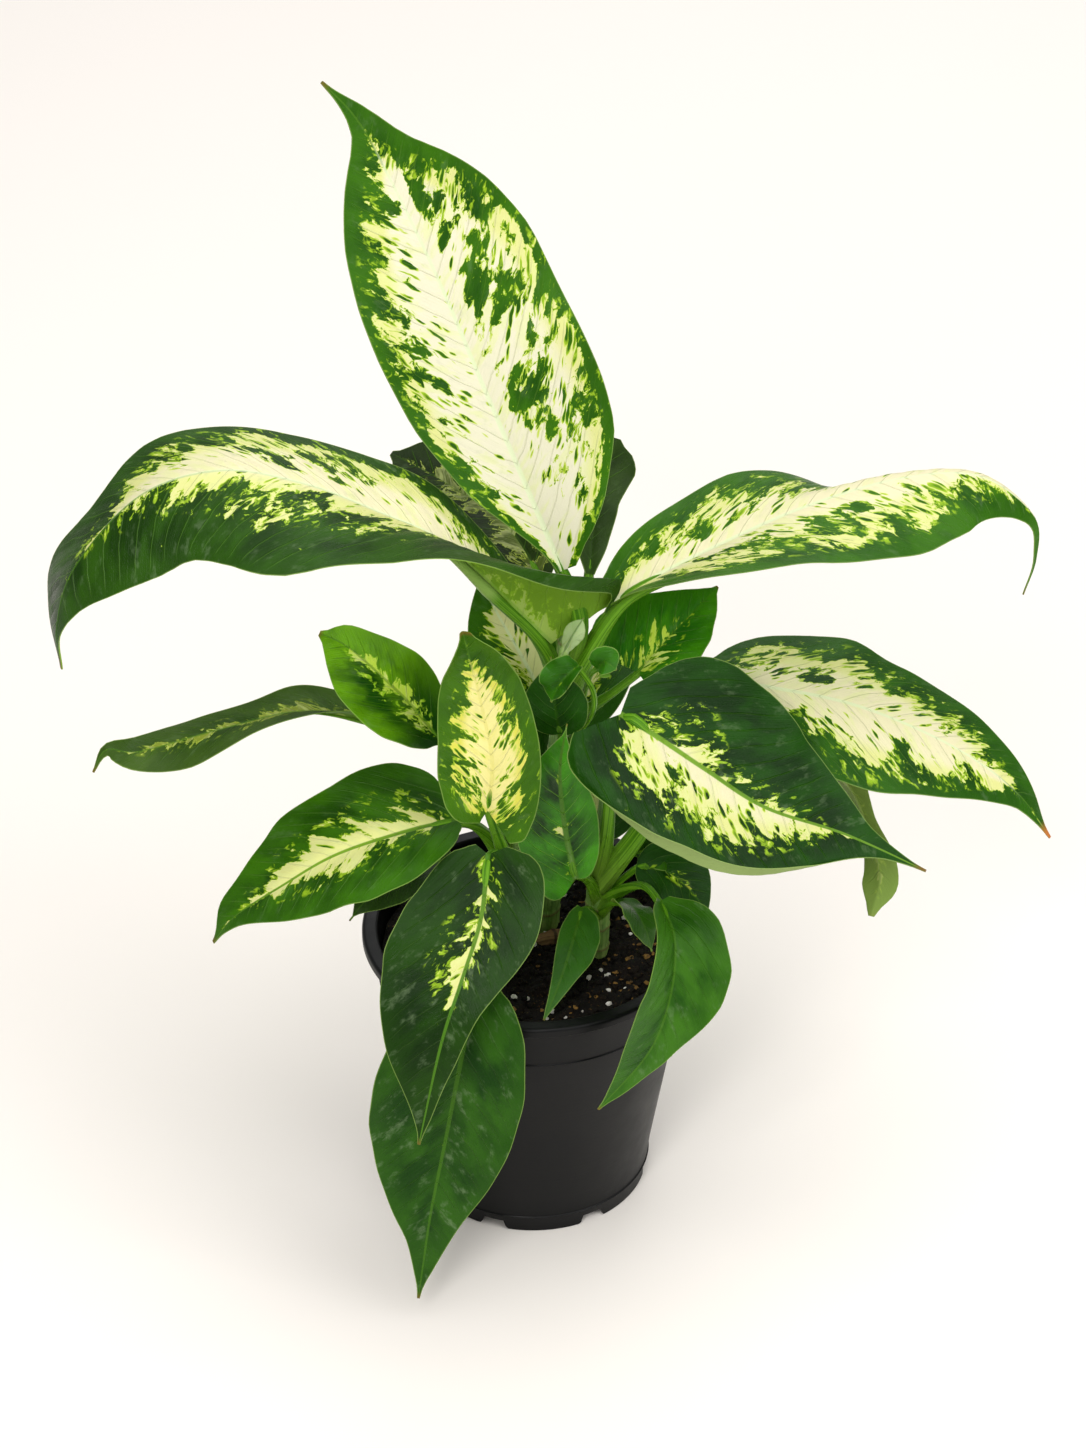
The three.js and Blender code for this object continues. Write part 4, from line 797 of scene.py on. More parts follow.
def soilFinish(name, look):
    material, tree, shader = newMaterial(name)
    place = placeOf(tree)
    coarse = noiseOf(place, scale=150, detail=6, rough=0.7)
    fine = noiseOf(place, scale=700, detail=4, rough=0.7)
    colour = blendColours(between(coarse, 0.35, 0.65), look["dark"], look["middle"])
    colour = blendColours(between(fine, 0.6, 0.72, 0, look["flecks"]), colour, look["light"])
    rough = between(coarse, 0.3, 0.7, look["rough"], look["rough"] + 0.15)
    setFinish(shader, colour, rough, look["shine"], fine * 0.5 + coarse, 0.8, 1.2)
    return material


def makeSoil():
    sides, corner, size = soil["sides"], soil["corner"], soil["fineLumpSize"]
    edge = soilWallAt(soil["height"]) - soil["edge"]
    bed = pot["channel"][1] + pot["wall"] + 0.3
    turn = turnsOf(sides)[None, :]
    reach = edge * np.linspace(0.006, 1, soil["rings"])[:, None]
    x, y = reach * np.cos(turn), reach * np.sin(turn)
    rough = np.array([[noise.fractal(Vector((a / size, b / size, 3)), 0.8, 2.2, 5) for a, b in zip(p, q)]
                      for p, q in zip(x, y)])
    z = soilTopAt(x, y) + soil["fineLumps"] * rough - soil["sag"] * stepUp(reach / edge, soil["sagFrom"], 1)
    top = np.stack([x, y, z], -1)[::-1]
    walls = [(0.05, bed), (soilWallAt(bed) - corner, bed), (soilWallAt(bed + corner), bed + corner),
             (edge + 0.6, soil["height"] - 6)]
    below = [np.stack([r * np.cos(turn[0]), r * np.sin(turn[0]), np.full(sides, float(h))], -1)
             for r, h in walls]
    rings = np.vstack([np.array(below), top])
    rows = rings.shape[0]
    faces = gridFaces(rows, sides, around=True) + capFaces(rows, sides)
    material = soilFinish("soilFinish", soil["look"])
    piece = newPiece("pottingSoil", rings.reshape(-1, 3), faces, material, sharp=70)
    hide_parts("soil")
    print("the soil is made")


def grainShape(draw, size, flat):  # a lumpy pebble on a coarse sphere, as points and faces
    rows, sides = 5, 7
    points = [(0, 0, -1)]
    for i in range(1, rows):
        a = math.pi * i / rows
        turns = [2 * math.pi * k / sides for k in range(sides)]
        points += [(math.sin(a) * math.cos(b), math.sin(a) * math.sin(b), -math.cos(a)) for b in turns]
    points.append((0, 0, 1))
    points = np.array(points)
    lumps = np.array([draw.uniform(0.72, 1.2) for _ in points])
    stretch = np.array([draw.uniform(0.8, 1.3), draw.uniform(0.7, 1.0), flat * draw.uniform(0.7, 1.1)])
    points = points * lumps[:, None] * stretch * size / 2
    spin, tilt = draw.uniform(0, 2 * math.pi), draw.uniform(-0.5, 0.5)
    turnZ = np.array([[math.cos(spin), -math.sin(spin), 0], [math.sin(spin), math.cos(spin), 0], [0, 0, 1]])
    turnX = np.array([[1, 0, 0], [0, math.cos(tilt), -math.sin(tilt)], [0, math.sin(tilt), math.cos(tilt)]])
    faces = [(0, 1 + (k + 1) % sides, 1 + k) for k in range(sides)]
    faces += gridFaces(rows - 1, sides, first=1, around=True)
    last = len(points) - 1
    faces += [(last, last - sides + k, last - sides + (k + 1) % sides) for k in range(sides)]
    return points @ (turnZ @ turnX).T, faces


def scatterGrains(grain):  # over the soil's top, clear of the canes
    draw = random.Random(grain["seed"])
    allPoints, allFaces, first, count = [], [], 0, grain["count"]
    feet = [caneAt(cane, soil["height"]) + [cane["radius"][0]] for cane in canes.values()]
    while count > 0:
        reach, turn = soil["scatter"] * math.sqrt(draw.random()), draw.uniform(0, 2 * math.pi)
        x, y = reach * math.cos(turn), reach * math.sin(turn)
        size = draw.uniform(*grain["sizes"])
        if any(math.hypot(x - fx, y - fy) < radius + size for fx, fy, _, radius in feet):
            continue
        points, faces = grainShape(draw, size, grain["flat"])
        low = soilTopAt(x, y) + size * grain["flat"] * draw.uniform(0.05, 0.3)
        allPoints.append(points + [x, y, low])
        allFaces += [tuple(first + v for v in face) for face in faces]
        first += len(points)
        count -= 1
    material = soilFinish(grain["finish"], grain["look"])
    piece = newPiece(grain["name"], np.vstack(allPoints), allFaces, material, sharp=50)


def makeGrains():
    for grain in grains:
        scatterGrains(grain)
    print("the crumbs, perlite and bark are scattered")


# Floor, light and camera, all in metres.
studio = {
    "floor": rgb(252, 247, 242), "speckle": rgb(244, 238, 230), "speckleShows": 0.04, "floorReach": 9,
    "floorRough": 0.9, "floorShine": 0.1, "air": (1.0, 0.985, 0.965, 1), "airStrength": 0.4,
    "lens": 120, "sensor": 36, "cameraPlace": (0.004673, -1.7315, 1.45942), "cameraTilt": 55,
    "lamps": [
        {"name": "topLamp", "place": (0.3, -0.25, 2.3), "aim": (0, 0, 0.2), "size": 2.4, "power": 28.5,
         "tint": (1.0, 0.99, 0.97)},
        {"name": "frontLamp", "place": (-0.5, -1.8, 1.7), "aim": (0, 0, 0.3), "size": 0.8, "power": 21,
         "tint": (1.0, 0.985, 0.96)},
        {"name": "fillLamp", "place": (1.5, -1.2, 1.3), "aim": (0, 0, 0.25), "size": 1.4, "power": 13,
         "tint": (1.0, 0.99, 0.98)},
        {"name": "backLamp", "place": (0.3, 1.6, 1.7), "aim": (0, 0.3, 0.1), "size": 1.4, "power": 10,
         "tint": (1.0, 1.0, 1.0)},
    ],
}


def makeLamp(lamp):
    data = bpy.data.lights.new(lamp["name"], "AREA")
    data.energy, data.shape, data.size, data.color = lamp["power"], "DISK", lamp["size"], lamp["tint"]
    piece = bpy.data.objects.new(lamp["name"], data)
    piece.location = lamp["place"]
    aim = Vector(lamp["aim"]) - Vector(lamp["place"])
    piece.rotation_euler = aim.to_track_quat("-Z", "Y").to_euler()
    scene.collection.objects.link(piece)


def makeStudio():
    reach = studio["floorReach"]
    corners = [(-reach, -reach, 0), (reach, -reach, 0), (reach, reach, 0), (-reach, reach, 0)]
    mesh = bpy.data.meshes.new("floor")
    mesh.from_pydata(corners, [], [(0, 1, 2, 3)])
    material, tree, shader = newMaterial("floorFinish")
    speckle = between(noiseOf(placeOf(tree), scale=3, detail=3), 0.3, 0.7, 0, studio["speckleShows"])
    colour = blendColours(speckle, studio["floor"], studio["speckle"])
    setFinish(shader, colour, studio["floorRough"], studio["floorShine"])
    mesh.materials.append(material)
    floor = bpy.data.objects.new("floor", mesh)
    scene.collection.objects.link(floor)
    world = bpy.data.worlds.new("studioAir")
    world.use_nodes = True
    air = world.node_tree.nodes["Background"]
    setInputs(air, {"Color": studio["air"], "Strength": studio["airStrength"]})
    scene.world = world
    for lamp in studio["lamps"]:
        makeLamp(lamp)
    scene.view_settings.view_transform = "Standard"
    camera = bpy.data.cameras.new("photoCamera")
    camera.lens, camera.sensor_width = studio["lens"], studio["sensor"]
    eye = bpy.data.objects.new("photoCamera", camera)
    eye.location = studio["cameraPlace"]
    eye.rotation_euler = (math.radians(studio["cameraTilt"]), 0, 0)
    scene.collection.objects.link(eye)
    scene.camera = eye
    print("the floor, lamps and camera are set")


# The leaves, from the top of the plant down. The last three stand at the rear.
smallLeaf = {"stem": [3, 2], "shape": [0.45, 0.55, 1.15, 0.1], "fold": [10, 4, 0], "wave": [0.6, 2, 0.2],
             "veinGap": 6}
rearLeaf = {"cane": "cane_main", "stem": [4.2, 2.8], "wide": [28, 28], "shape": [0.42, 0.55, 1.15, 0.14],
            "fold": [12, 4, 0], "lobe": 6}
speckled = {"cream": rgb(186, 182, 60), "creamEdge": rgb(172, 168, 44), "ribShows": 0.3}
curled = {"dark": rgb(14, 54, 0), "mid": rgb(48, 108, 10), "ribShows": 0.25, "ribUnder": rgb(60, 112, 18)}
rear = {"dark": rgb(24, 64, 6), "mid": rgb(44, 94, 12)}

makeLeaf({
    "node": "leaf_top", "slot": "leaf_cream", "cane": "cane_main", "height": 274, "stem": [5, 3.4],
    "stalk": [[20, 2, 303]],
    "rib": [[13, 5, 324], [-18, 25, 397], [-41, 38, 453], [-62, 46, 499], [-73, 46, 521], [-86, 42, 539]],
    "face": [[0.3, -0.85, 0.4], [0.25, -0.85, 0.45], [0.2, -0.8, 0.5]],
    "edges": [[[0, 2], [0.05, 6], [0.1, 13], [0.2, 27], [0.35, 37], [0.5, 40], [0.6, 38], [0.7, 32],
               [0.8, 20], [0.88, 5], [1, 0.7]],
              [[0, 4], [0.05, 20], [0.1, 31], [0.2, 45], [0.3, 48], [0.6, 45], [0.7, 37], [0.78, 25],
               [0.82, 15], [0.9, 6], [1, 0.7]]],
    "fold": [22, 6, 0], "curl": [6, 6], "wave": [2.5, 2.2, 0.1], "lobe": 0, "slant": 1.1, "veinGap": 11,
    "puff": 0.3,
    "cream": [[(0, 0.8), (0.3, 0.86), (0.5, 0.78), (0.66, 0.58), (0.76, 0.36), (0.83, 0), (0.9, -0.4)],
              [(0, 0.8), (0.3, 0.9), (0.55, 0.86), (0.7, 0.66), (0.78, 0.4), (0.84, 0), (0.91, -0.4)]],
    "look": {**creamRib, "seed": 5, "cream": rgb(224, 221, 194), "greenEdge": 6, "lace": 1.1,
             "clearHeart": 0.6, "clearRib": 1, "blotchFrom": (0.62, 0.55), "specksFrom": 0.36,
             "speckWide": 0.7},
})
makeLeaf({
    "node": "leaf_left", "slot": "leaf_cream", "cane": "cane_main", "height": 244, "stem": [5.5, 4],
    "stalk": [[11, 2, 268]],
    "rib": [[8, 0, 290], [-33, -12, 346], [-67, -18, 370], [-97, -22, 386], [-130, -27, 395],
            [-163, -34, 387], [-191, -42, 357], [-200, -46, 330], [-199, -48, 309]],
    "face": [[0.5, -0.2, 0.8], [0, -0.22, 0.97], [-0.85, -0.35, 0.3]],
    "edges": [[[0, 28], [0.03, 50], [0.08, 53], [0.15, 48], [0.3, 44], [0.42, 52], [0.5, 59], [0.58, 50],
               [0.66, 37], [0.75, 34], [0.85, 20], [0.92, 6], [1, 0.7]],
              [[0, 6], [0.1, 14], [0.2, 20], [0.3, 30], [0.38, 35], [0.5, 41], [0.62, 43], [0.68, 39],
               [0.73, 27], [0.78, 20], [0.84, 26], [0.9, 28], [0.94, 22], [0.97, 10], [1, 0.7]]],
    "fold": [[114, 2, -14], [36, -14, -6]], "curl": [-8, 0], "roll": [0, 0.86, -150, -0.32, 0.32],
    "wave": [3, 2, 0.3], "lobe": 6, "veinGap": 12, "puff": 0.7,
    "cream": [[(0, 0.05), (0.12, -0.02), (0.25, 0.1), (0.4, 0.18), (0.55, 0.18), (0.66, 0.1), (0.76, -0.1),
               (0.88, -0.4)],
              [(0, 0.4), (0.15, 0.6), (0.3, 0.7), (0.5, 0.7), (0.64, 0.52), (0.75, 0.2), (0.83, -0.1),
               (0.92, -0.4)]],
    "look": {**creamRib, "seed": 11, "dark": rgb(20, 52, 0), "mid": rgb(40, 80, 6),
             "under": rgb(130, 176, 44), "underShows": 0.7, "dusty": 0.25, "blotchFrom": (0.62, 0.58)},
})
makeLeaf({
    "node": "leaf_right", "slot": "leaf_cream", "cane": "cane_main", "height": 252, "stem": [5.5, 4],
    "stalk": [[22, 4, 276]],
    "rib": [[34, 6, 306], [50, 12, 314], [74, 18, 325], [116, 30, 340], [159, 40, 349], [194, 42, 349],
            [218, 38, 331], [220, 34, 312], [215, 30, 295]],
    "face": [[-0.4, -0.2, 0.85], [-0.05, -0.1, 0.98], [0.85, -0.3, 0.35]],
    "edges": [[[0, 8], [0.04, 16], [0.1, 25], [0.2, 37], [0.3, 45], [0.4, 42], [0.5, 36], [0.6, 31],
               [0.7, 24], [0.8, 14], [0.88, 4], [1, 0.7]],
              [[0, 3], [0.05, 14], [0.12, 27], [0.2, 38], [0.3, 44], [0.5, 42], [0.6, 40], [0.7, 32],
               [0.78, 15], [0.84, 5], [0.92, 2], [1, 0.7]]],
    "fold": [[30, -10, -30], [46, -8, -14]], "curl": [-8, 0], "roll": [0, 0.15, -75, 0.3, 1.05],
    "wave": [2.5, 2.3, 0.2], "lobe": 4, "slant": 1.1, "veinGap": 11, "puff": 0.5,
    "cream": [[(0, 0.3), (0.1, 0.5), (0.3, 0.58), (0.5, 0.6), (0.65, 0.66), (0.78, 0.5), (0.86, 0.1),
               (0.92, -0.3)],
              [(0, 0.1), (0.1, 0.35), (0.3, 0.5), (0.5, 0.5), (0.65, 0.34), (0.76, 0.1), (0.84, -0.2),
               (0.92, -0.4)]],
    "look": {**creamRib, "seed": 23, "clearHeart": 0.7, "blotchFrom": (0.54, 0.54), "specksFrom": 0.4,
             "speckWide": 1},
})
makeLeaf({
    "node": "leaf_right_mid", "slot": "leaf_cream", "cane": "cane_right", "height": 168, "stem": [5.2, 3.4],
    "stalk": [[40, -19, 190], [50, -20, 208], [62, -14, 226], [70, 2, 246]],
    "rib": [[74, 14, 262], [104, 10, 260], [143, 4, 254], [183, -4, 239], [212, -12, 220], [228, -20, 200]],
    "face": [[-0.1, -0.2, 0.95], [0.1, -0.2, 0.95], [0.5, -0.25, 0.8]],
    "edges": [[[0, 6], [0.05, 22], [0.12, 34], [0.25, 42], [0.36, 42], [0.44, 36], [0.6, 35], [0.7, 28],
               [0.8, 19], [0.9, 8], [1, 0.7]],
              [[0, 6], [0.06, 24], [0.12, 34], [0.25, 39], [0.4, 41], [0.55, 38], [0.7, 27], [0.8, 15],
               [0.88, 6], [1, 0.7]]],
    "fold": [[-2, -6, 0], [4, -6, 0]], "curl": [-4, -4], "wave": [2, 2.2, 0.4], "lobe": 0, "slant": 1.1,
    "veinGap": 11, "puff": 0.5,
    "cream": [[(0, 0.3), (0.1, 0.55), (0.3, 0.58), (0.5, 0.54), (0.68, 0.44), (0.8, 0.16), (0.86, -0.2)],
              [(0, 0.3), (0.1, 0.5), (0.3, 0.6), (0.5, 0.62), (0.68, 0.56), (0.8, 0.3), (0.88, -0.1)]],
    "look": {**creamRib, "seed": 31, "dark": rgb(18, 60, 0), "mid": rgb(42, 92, 4),
             "burnt": rgb(186, 112, 50), "burntFrom": 0.95, "clearHeart": 0.6, "blotchFrom": (0.58, 0.58),
             "specksFrom": 0.4},
})
makeLeaf({
    "node": "leaf_front_right", "cane": "cane_right", "height": 176, "stem": [5, 3.6],
    "stalk": [[32, -22, 205], [34, -28, 240]],
    "rib": [[38, -28, 272], [54, -37, 266], [75, -46, 255], [100, -58, 244], [134, -72, 240],
            [168, -82, 228]],
    "face": [[0.1, -0.5, 0.85], [0.15, -0.55, 0.82], [0.2, -0.4, 0.88]],
    "edges": [[[0, 9], [0.05, 30], [0.12, 42], [0.22, 48], [0.32, 47], [0.45, 42], [0.6, 30], [0.7, 19],
               [0.8, 8], [0.9, 3], [1, 0.7]],
              [[0, 18], [0.05, 34], [0.12, 43], [0.2, 48], [0.3, 52], [0.45, 48], [0.6, 34], [0.7, 22],
               [0.8, 9], [0.88, 3], [1, 0.7]]],
    "fold": [[6, 0, 0], [4, 8, 0]], "roll": [1, 0.84, 90, -0.15, 1], "wave": [2, 2, 0.1], "lobe": [8, 28],
    "slant": 0.9, "veinGap": 12, "puff": 0.6,
    "cream": [[(0, -0.4), (0.08, 0), (0.14, 0.08), (0.21, 0.26), (0.28, 0.1), (0.34, -0.12), (0.44, -0.06),
               (0.56, 0.02), (0.64, -0.05), (0.72, -0.4)],
              [(0, -0.3), (0.06, 0), (0.12, 0.28), (0.22, 0.38), (0.36, 0.34), (0.5, 0.34), (0.6, 0.24),
               (0.68, 0.04), (0.76, -0.3)]],
    "look": {"seed": 45, "dark": rgb(9, 42, 0), "mid": rgb(24, 70, 0), "rib": rgb(116, 156, 44),
             "ribDark": rgb(96, 136, 36), "ribShows": 1, "ribUnder": rgb(116, 156, 44),
             "under": rgb(142, 164, 96), "underShows": 0.9, "burntFrom": 0.95, "dusty": 0.25,
             "veinShows": 0.12, "fade": 0.9, "clearHeart": 0.7, "blotchFrom": (0.6, 0.58),
             "specksFrom": 0.45},
})
makeLeaf({
    "node": "leaf_right_under", "slot": "leaf_lime", "cane": "cane_main", "height": 186, "stem": [4, 2.6],
    "stalk": [[24, 17, 204], [42, 26, 216]],
    "rib": [[66, 30, 222], [106, 28, 220], [137, 18, 208], [149, 6, 190], [155, -8, 171], [151, -18, 155]],
    "face": [[0, 0, 1], [0.3, 0.75, 0.6], [0.3, 0.9, 0]],
    "edges": [[[0, 4], [0.2, 20], [0.4, 24], [0.52, 17], [0.62, 7], [0.7, 5], [0.8, 9], [0.92, 9],
               [0.98, 5], [1, 1]],
              [[0, 4], [0.2, 20], [0.4, 24], [0.52, 17], [0.62, 7], [0.7, 5], [0.8, 8], [0.92, 8],
               [0.98, 4], [1, 1]]],
    "fold": [10, 6, 20], "wave": [1.5, 2, 0], "slant": 1.1,
    "cream": [[(0, -0.3), (0.5, 0.1), (0.8, 0.1), (1, -0.3)],
              [(0, -0.3), (0.5, 0.1), (0.8, 0.2), (1, -0.3)]],
    "look": {"seed": 51, "ribUnder": rgb(140, 164, 84), "under": rgb(128, 152, 72), "underShows": 0.8},
})
makeLeaf({
    "node": "leaf_back_small", "cane": "cane_main", "height": 226, "stem": [4, 2.4],
    "stalk": [[22, 12, 243], [36, 12, 256]],
    "rib": [[46, 14, 265], [58, 22, 276], [70, 28, 287], [81, 32, 298]],
    "face": [[-0.3, -0.5, 0.8], [-0.3, -0.5, 0.8], [-0.2, -0.5, 0.8]],
    "edges": [[[0, 16], [0.05, 26], [0.2, 32], [0.35, 28], [0.5, 23], [0.75, 12], [0.88, 5], [1, 0.7]],
              [[0, 12], [0.1, 18], [0.36, 21], [0.65, 16], [0.85, 9], [0.93, 4], [1, 0.7]]],
    "fold": [12, 4, 0], "wave": [1, 2, 0.2], "lobe": [9, 4],
    "cream": [[(0, 0), (0.15, 0.05), (0.35, 0.06), (0.5, -0.05), (0.7, -0.3), (1, -0.5)],
              [(0, 0), (0.15, 0.1), (0.35, 0.12), (0.5, 0), (0.7, -0.25), (1, -0.5)]],
    "look": {"seed": 67, "dark": rgb(26, 92, 0), "mid": rgb(64, 134, 8), "cream": rgb(226, 236, 136),
             "creamEdge": rgb(190, 216, 70), "ribShows": 0.3, "lean": 1, "clearRib": 0,
             "blotchSize": (3.5, 16), "blotchFrom": (0.56, 0.56)},
})
makeLeaf({
    "node": "leaf_back_left", "cane": "cane_main", "height": 262, "stem": [4.6, 3],
    "stalk": [[13, 15, 284]],
    "rib": [[4, 26, 306], [-12, 45, 322], [-38, 62, 333], [-62, 75, 340]],
    "face": [[0.2, -0.3, 0.95], [0, -0.4, 0.9], [-0.2, -0.4, 0.9]],
    "edges": [[[0, 4], [0.1, 18], [0.3, 31], [0.5, 33], [0.7, 28], [0.85, 18], [0.95, 8], [1, 1]],
              [[0, 4], [0.1, 18], [0.3, 30], [0.5, 32], [0.7, 26], [0.85, 16], [0.95, 7], [1, 1]]],
    "fold": [20, 4, 0], "lobe": 3,
    "cream": [(0, 0.1), (0.3, 0.2), (0.7, 0.1), (1, -0.3)],
    # painted shade: dark greyed greens and a darkened cream, for a leaf in shadow behind the others
    "look": {"seed": 71, "dark": rgb(22, 38, 10), "mid": rgb(38, 58, 16), "cream": rgb(96, 110, 44),
             "creamEdge": rgb(76, 92, 32), "rim": rgb(60, 80, 22), "ribShows": 0.15, "burntFrom": 1},
})
makeLeaf({
    "node": "leaf_back_right", "cane": "cane_main", "height": 268, "stem": [4.4, 2.8],
    "stalk": [[21, 13, 290]],
    "rib": [[25, 24, 310], [27, 42, 326], [33, 58, 342], [37, 66, 353]],
    "face": [[0.1, -0.6, 0.6], [0.2, -0.7, 0.6], [0.2, -0.7, 0.5]],
    "edges": [[[0, 2], [0.2, 8], [0.4, 12], [0.6, 14], [0.8, 13], [0.93, 8], [1, 2]],
              [[0, 2], [0.2, 7], [0.4, 9], [0.55, 9], [0.7, 11], [0.8, 13], [0.92, 9], [1, 2]]],
    "fold": [[20, 10, 0], [20, 4, 0]], "wave": [1, 2, 0],
    # painted shade: dark greyed greens, for a leaf in shadow behind the others
    "look": {"seed": 73, "dark": rgb(28, 48, 12), "mid": rgb(48, 74, 20), "ribShows": 0.1, "burntFrom": 1,
             "flecksFrom": 0.99},
})
makeLeaf({
    "node": "leaf_back_centre", "slot": "leaf_cream", "cane": "cane_main", "height": 214, "stem": [4, 2.4],
    "stalk": [[11, 16, 232]],
    "rib": [[5, 20, 247], [-5, 26, 266], [-16, 34, 284], [-24, 38, 302]],
    "face": [0.2, -0.85, 0.4],
    "wide": [19, 20], "shape": [0.5, 0.55, 1.15, 0.1], "fold": [20, 6, 0], "wave": [1, 2, 0], "slant": 1.2,
    "veinGap": 8,
    "cream": [[(0, 0.1), (0.3, 0.3), (0.6, 0.4), (0.85, 0.1), (1, -0.4)],
              [(0, 0.6), (0.3, 0.8), (0.7, 0.75), (0.9, 0.3), (1, -0.4)]],
    "look": {**creamRib, "seed": 79, "cream": rgb(218, 220, 156), "clearRib": 0, "specksFrom": 0.2,
             "speckSize": (3.6, 4.6), "speckWide": 1.1},
})
makeLeaf({
    "node": "leaf_front_centre", "slot": "leaf_cream", "cane": "cane_left", "height": 186,
    "stem": [4.4, 2.8],
    "stalk": [[-13, -37, 206]],
    "rib": [[-19, -54, 239], [-17, -53, 264], [-21, -51, 290], [-26, -52, 316], [-29, -56, 333]],
    "face": [[0.2, -0.9, 0.3], [0.1, -0.9, 0.4], [0, -0.7, 0.7]],
    "edges": [[[0, 5], [0.06, 20], [0.15, 27], [0.3, 28], [0.5, 23], [0.7, 19], [0.8, 15], [0.88, 10],
               [0.95, 5], [1, 2]],
              [[0, 10], [0.05, 18], [0.15, 21], [0.5, 21], [0.7, 19], [0.85, 15], [0.95, 10], [1, 5]]],
    "fold": [[40, 10, 30], [30, 10, 30]], "curl": [20, 10], "lobe": [5, 32], "slant": 1.2, "veinGap": 8,
    "cream": [[(0, 0.2), (0.1, 0.5), (0.3, 0.66), (0.5, 0.56), (0.65, 0.36), (0.78, 0.06), (0.86, -0.3)],
              [(0, 0.2), (0.1, 0.6), (0.3, 0.66), (0.5, 0.58), (0.62, 0.46), (0.74, 0.24), (0.82, -0.2)]],
    "look": {"seed": 83, "dark": rgb(36, 78, 4), "mid": rgb(62, 108, 8), "cream": rgb(236, 228, 150),
             "creamEdge": rgb(216, 214, 84), "creamWash": rgb(220, 216, 110), "rib": rgb(220, 214, 124),
             "ribUnder": rgb(216, 212, 120), "lean": 1.1, "clearHeart": 0.6, "clearRib": 0,
             "blotchSize": (6, 20), "blotchFrom": (0.57, 0.58), "specksFrom": 0.32,
             "speckSize": (2.6, 3.6)},
})
makeLeaf({
    "node": "leaf_lime", "slot": "leaf_lime", "cane": "cane_left", "height": 194, "stem": [4, 2.4],
    "stalk": [[-13, -28, 218], [-25, -33, 243]],
    "rib": [[-40, -38, 266], [-52, -38, 284], [-67, -38, 302], [-79, -36, 313], [-90, -34, 318]],
    "face": [[0.5, -0.6, 0.6], [0.45, -0.6, 0.65], [0.2, -0.6, 0.7]],
    "edges": [[[0, 3], [0.08, 12], [0.2, 20], [0.4, 26], [0.6, 26], [0.75, 21], [0.88, 13], [0.96, 6],
               [1, 1]],
              [[0, 3], [0.1, 10], [0.2, 15], [0.4, 18], [0.6, 16], [0.75, 12], [0.88, 8], [0.96, 4],
               [1, 1]]],
    "fold": [24, 12, 0], "curl": [6, 6], "wave": [1, 2, 0], "lobe": 3, "slant": 1.2,
    "cream": [[(0, -0.1), (0.2, 0.1), (0.45, 0.1), (0.7, 0), (1, -0.4)],
              [(0, -0.1), (0.2, 0.06), (0.45, 0), (0.7, -0.15), (1, -0.4)]],
    # this leaf's greens darken towards its base as painted shade
    "look": {"seed": 89, "dark": rgb(14, 62, 0), "mid": rgb(100, 156, 6), "cream": rgb(214, 228, 110),
             "creamEdge": rgb(182, 210, 66), "rim": rgb(150, 196, 40), "rib": rgb(96, 146, 20),
             "deepBase": 1, "glow": 0.12},
})
makeLeaf({
    "node": "leaf_narrow_left", "cane": "cane_main", "height": 202, "stem": [4, 2.4],
    "stalk": [[0, 7, 220], [-18, 2, 232]],
    "rib": [[-40, -4, 244], [-70, -12, 258], [-100, -20, 268], [-135, -28, 264], [-169, -36, 258],
            [-183, -39, 261], [-189, -42, 251]],
    "face": [[0, -0.1, 1], [0, -0.15, 1], [-0.5, -0.3, 0.8]],
    "edges": [[[0, 2], [0.1, 7], [0.3, 12], [0.45, 12], [0.6, 14], [0.72, 15], [0.8, 11], [0.88, 5.5],
               [0.94, 2.5], [1, 0.7]],
              [[0, 2], [0.1, 9], [0.3, 14], [0.42, 14], [0.5, 12], [0.75, 12], [0.86, 8], [0.93, 2.5],
               [1, 0.7]]],
    "fold": [[95, 20, -70], [10, 0, 0]], "wave": [2, 1.6, 0.3], "slant": 1.3, "puff": 0.5,
    "cream": [[(0, -0.1), (0.2, 0), (0.5, 0.06), (0.8, 0.04), (1, -0.4)],
              [(0, 0), (0.2, 0.15), (0.5, 0.2), (0.8, 0.1), (1, -0.4)]],
    "look": {"seed": 97, "dark": rgb(42, 70, 18), "mid": rgb(66, 96, 28), "cream": rgb(170, 178, 76),
             "creamEdge": rgb(134, 150, 48), "rim": rgb(104, 130, 34)},
})
